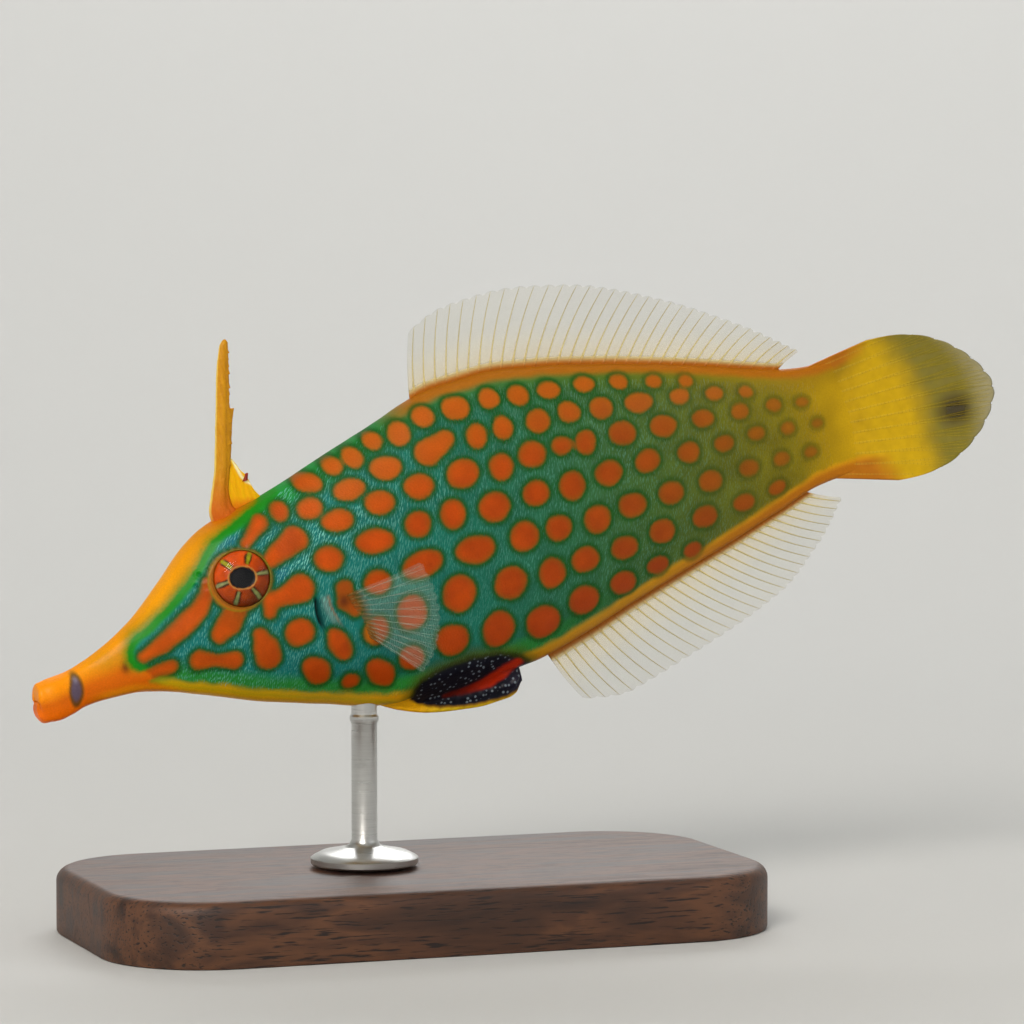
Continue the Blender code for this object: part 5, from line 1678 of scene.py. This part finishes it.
def stand_rod(use):
    """The upright rod on its turned foot, with a small cup at the top that the belly rests in."""
    meets = placed((ROD_AT, 0, float(curve(BELLY, ROD_AT)))) / MM
    foot, high = BASE_HEIGHT + TOUCH_GAP, meets[2]
    thick, cup, wide = ROD_RADIUS, ROD_RADIUS * 1.12, FLANGE_RADIUS
    profile = (
        (wide - 0.15, foot), (wide, foot + 0.15), (wide, foot + FLANGE_HEIGHT * 0.4),
        (wide - 0.2, foot + FLANGE_HEIGHT * 0.5), (wide * 0.8, foot + FLANGE_HEIGHT * 0.75),
        (thick * 1.6, foot + FLANGE_HEIGHT), (thick * 1.2, foot + FLANGE_HEIGHT + 0.25),
        (thick, foot + FLANGE_HEIGHT + 0.7), (thick, high - 1.6), (cup, high - 1.3), (cup, high - 0.9),
        (thick, high - 0.7), (thick, high + 0.5),
    )
    nothing_selected()
    bpy.ops.mesh.primitive_circle_add(vertices=72, radius=profile[0][0] * MM, fill_type="NGON",
                                      location=(meets[0] * MM, 0, profile[0][1] * MM))
    piece = named("rod")
    bpy.ops.object.mode_set(mode="EDIT")
    bpy.ops.mesh.select_all(action="SELECT")
    for (before, below), (after, above) in zip(profile, profile[1:]):
        bpy.ops.mesh.extrude_region_move(TRANSFORM_OT_translate={"value": (0, 0, (above - below) * MM)})
        bpy.ops.transform.resize(value=(after / before, after / before, 1))
    bpy.ops.mesh.select_all(action="SELECT")
    bpy.ops.mesh.normals_make_consistent(inside=False)
    bpy.ops.object.mode_set(mode="OBJECT")
    bpy.ops.object.transform_apply(location=True, rotation=True, scale=True)
    bpy.ops.object.shade_smooth_by_angle(angle=math.radians(35))
    return finished(piece, use, "steel", "stand_rod")


# Studio
def studio_finish():
    """Seamless paper, matt and pale grey."""
    made, tree, shader = material("seamless_paper_matt")
    fitted(tree, shader, {"Base Color": tint("#CDCECD"), "Roughness": 0.9, "Specular IOR Level": 0.0}, {})
    return made


def studio():
    """A plain pale floor that rises gently all round, like paper curving up."""
    nothing_selected()
    flat, wide, high, steps = PAPER_FLAT, PAPER_RADIUS, PAPER_HEIGHT, 24
    bpy.ops.mesh.primitive_circle_add(vertices=96, radius=flat, fill_type="NGON")
    floor = named("studio_floor")
    bpy.ops.object.mode_set(mode="EDIT")
    bpy.ops.mesh.select_mode(type="EDGE")
    bpy.ops.mesh.select_all(action="DESELECT")
    bpy.ops.mesh.select_non_manifold()
    for step in range(steps):
        reach = flat + (wide - flat) * step / steps
        further = flat + (wide - flat) * (step + 1) / steps
        rise = high * (((step + 1) / steps) ** 2 - (step / steps) ** 2)
        bpy.ops.mesh.extrude_region_move(TRANSFORM_OT_translate={"value": (0, 0, rise)})
        bpy.ops.transform.resize(value=(further / reach, further / reach, 1))
    bpy.ops.object.mode_set(mode="OBJECT")
    bpy.ops.object.shade_smooth()
    floor.data.materials.append(studio_finish())


def lamp(name, place, size, power, colour="#FFFFFF"):
    """A soft square lamp that looks at the fish."""
    light = bpy.data.lights.new(name, "AREA")
    light.shape = "SQUARE"
    light.size = size
    light.energy = power
    light.color = linear(colour)
    holder = bpy.data.objects.new(name, light)
    bpy.context.scene.collection.objects.link(holder)
    holder.location = place
    holder.rotation_euler = (Vector(LAMPS_AIM) - Vector(place)).to_track_quat("-Z", "Y").to_euler()
    holder.visible_camera = False


def lights():
    """Soft studio light: a broad key from the camera's left, a fill, one from above and one from behind."""
    world = bpy.data.worlds.new("studio_air")
    world.use_nodes = True
    air = world.node_tree.nodes["Background"]
    fitted(world.node_tree, air, {"Color": tint("#F2F4F6"), "Strength": 0.38}, {})
    bpy.context.scene.world = world
    lamp("key", (-0.45, -0.62, 0.55), 0.4, 6.2, "#FFF8F0")
    lamp("fill", (0.65, -0.55, 0.25), 0.6, 1.7, "#F4F8FF")
    lamp("top", (0.05, 0.1, 0.85), 0.5, 3.8)
    lamp("behind", (0.3, 0.65, 0.5), 0.5, 3.4)


def camera():
    """The camera, at the photo's viewing angle and distance."""
    data = bpy.data.cameras.new("camera")
    data.sensor_width = SENSOR
    data.lens = SENSOR / 2 / HALF_VIEW
    data.clip_start = 0.01
    holder = bpy.data.objects.new("camera", data)
    bpy.context.scene.collection.objects.link(holder)
    way = Vector((
        math.sin(CAMERA_AZIMUTH) * math.cos(CAMERA_ELEVATION),
        -math.cos(CAMERA_AZIMUTH) * math.cos(CAMERA_ELEVATION),
        math.sin(CAMERA_ELEVATION),
    ))
    holder.location = (Vector(CAMERA_AIM) + way * CAMERA_DISTANCE) * MM
    holder.rotation_euler = (-way).to_track_quat("-Z", "Y").to_euler()
    bpy.context.scene.camera = holder


def main():
    camera()
    lights()
    studio()
    bpy.context.scene.view_settings.view_transform = "Standard"

    points, normals = skin_grid()
    skin_use = skin_finish("filefish_skin_grown_with_prickles")
    skin(points, skin_use)
    prickles("prickles_right", points, normals, 1, skin_use)
    prickles("prickles_left", points, normals, -1, skin_use)

    iris, cornea = iris_finish(), cornea_finish()
    eye("right_eye", 1, iris, cornea)
    eye("left_eye", -1, iris, cornea)

    spine_use = spine_finish()
    dorsal_spine(spine_use)
    dorsal_web(web_finish(), spine_use)

    membrane = fin_finish("soft_fin_skin_clear_film", 0.0)
    bone = fin_finish("soft_fin_rays_jointed_bone", 0.25)
    dorsal = (BACK, 1, DORSAL_BASE, DORSAL_LENGTH, DORSAL_LEAN)
    anal = (BELLY, -1, ANAL_BASE, ANAL_LENGTH, ANAL_LEAN)
    soft_fin("dorsal_fin", "soft_dorsal_fin", dorsal, DORSAL_RAYS, membrane, bone)
    soft_fin("anal", "anal_fin", anal, ANAL_RAYS, membrane, bone)
    tail_fin(membrane, bone)
    for name, side in (("right_pectoral", 1), ("left_pectoral", -1)):
        pectoral_fin(name, side, membrane, bone)
    pelvic_flap(skin_finish("filefish_skin_of_the_flap"))

    stand_base(wood_finish())
    stand_rod(steel_finish())


main()
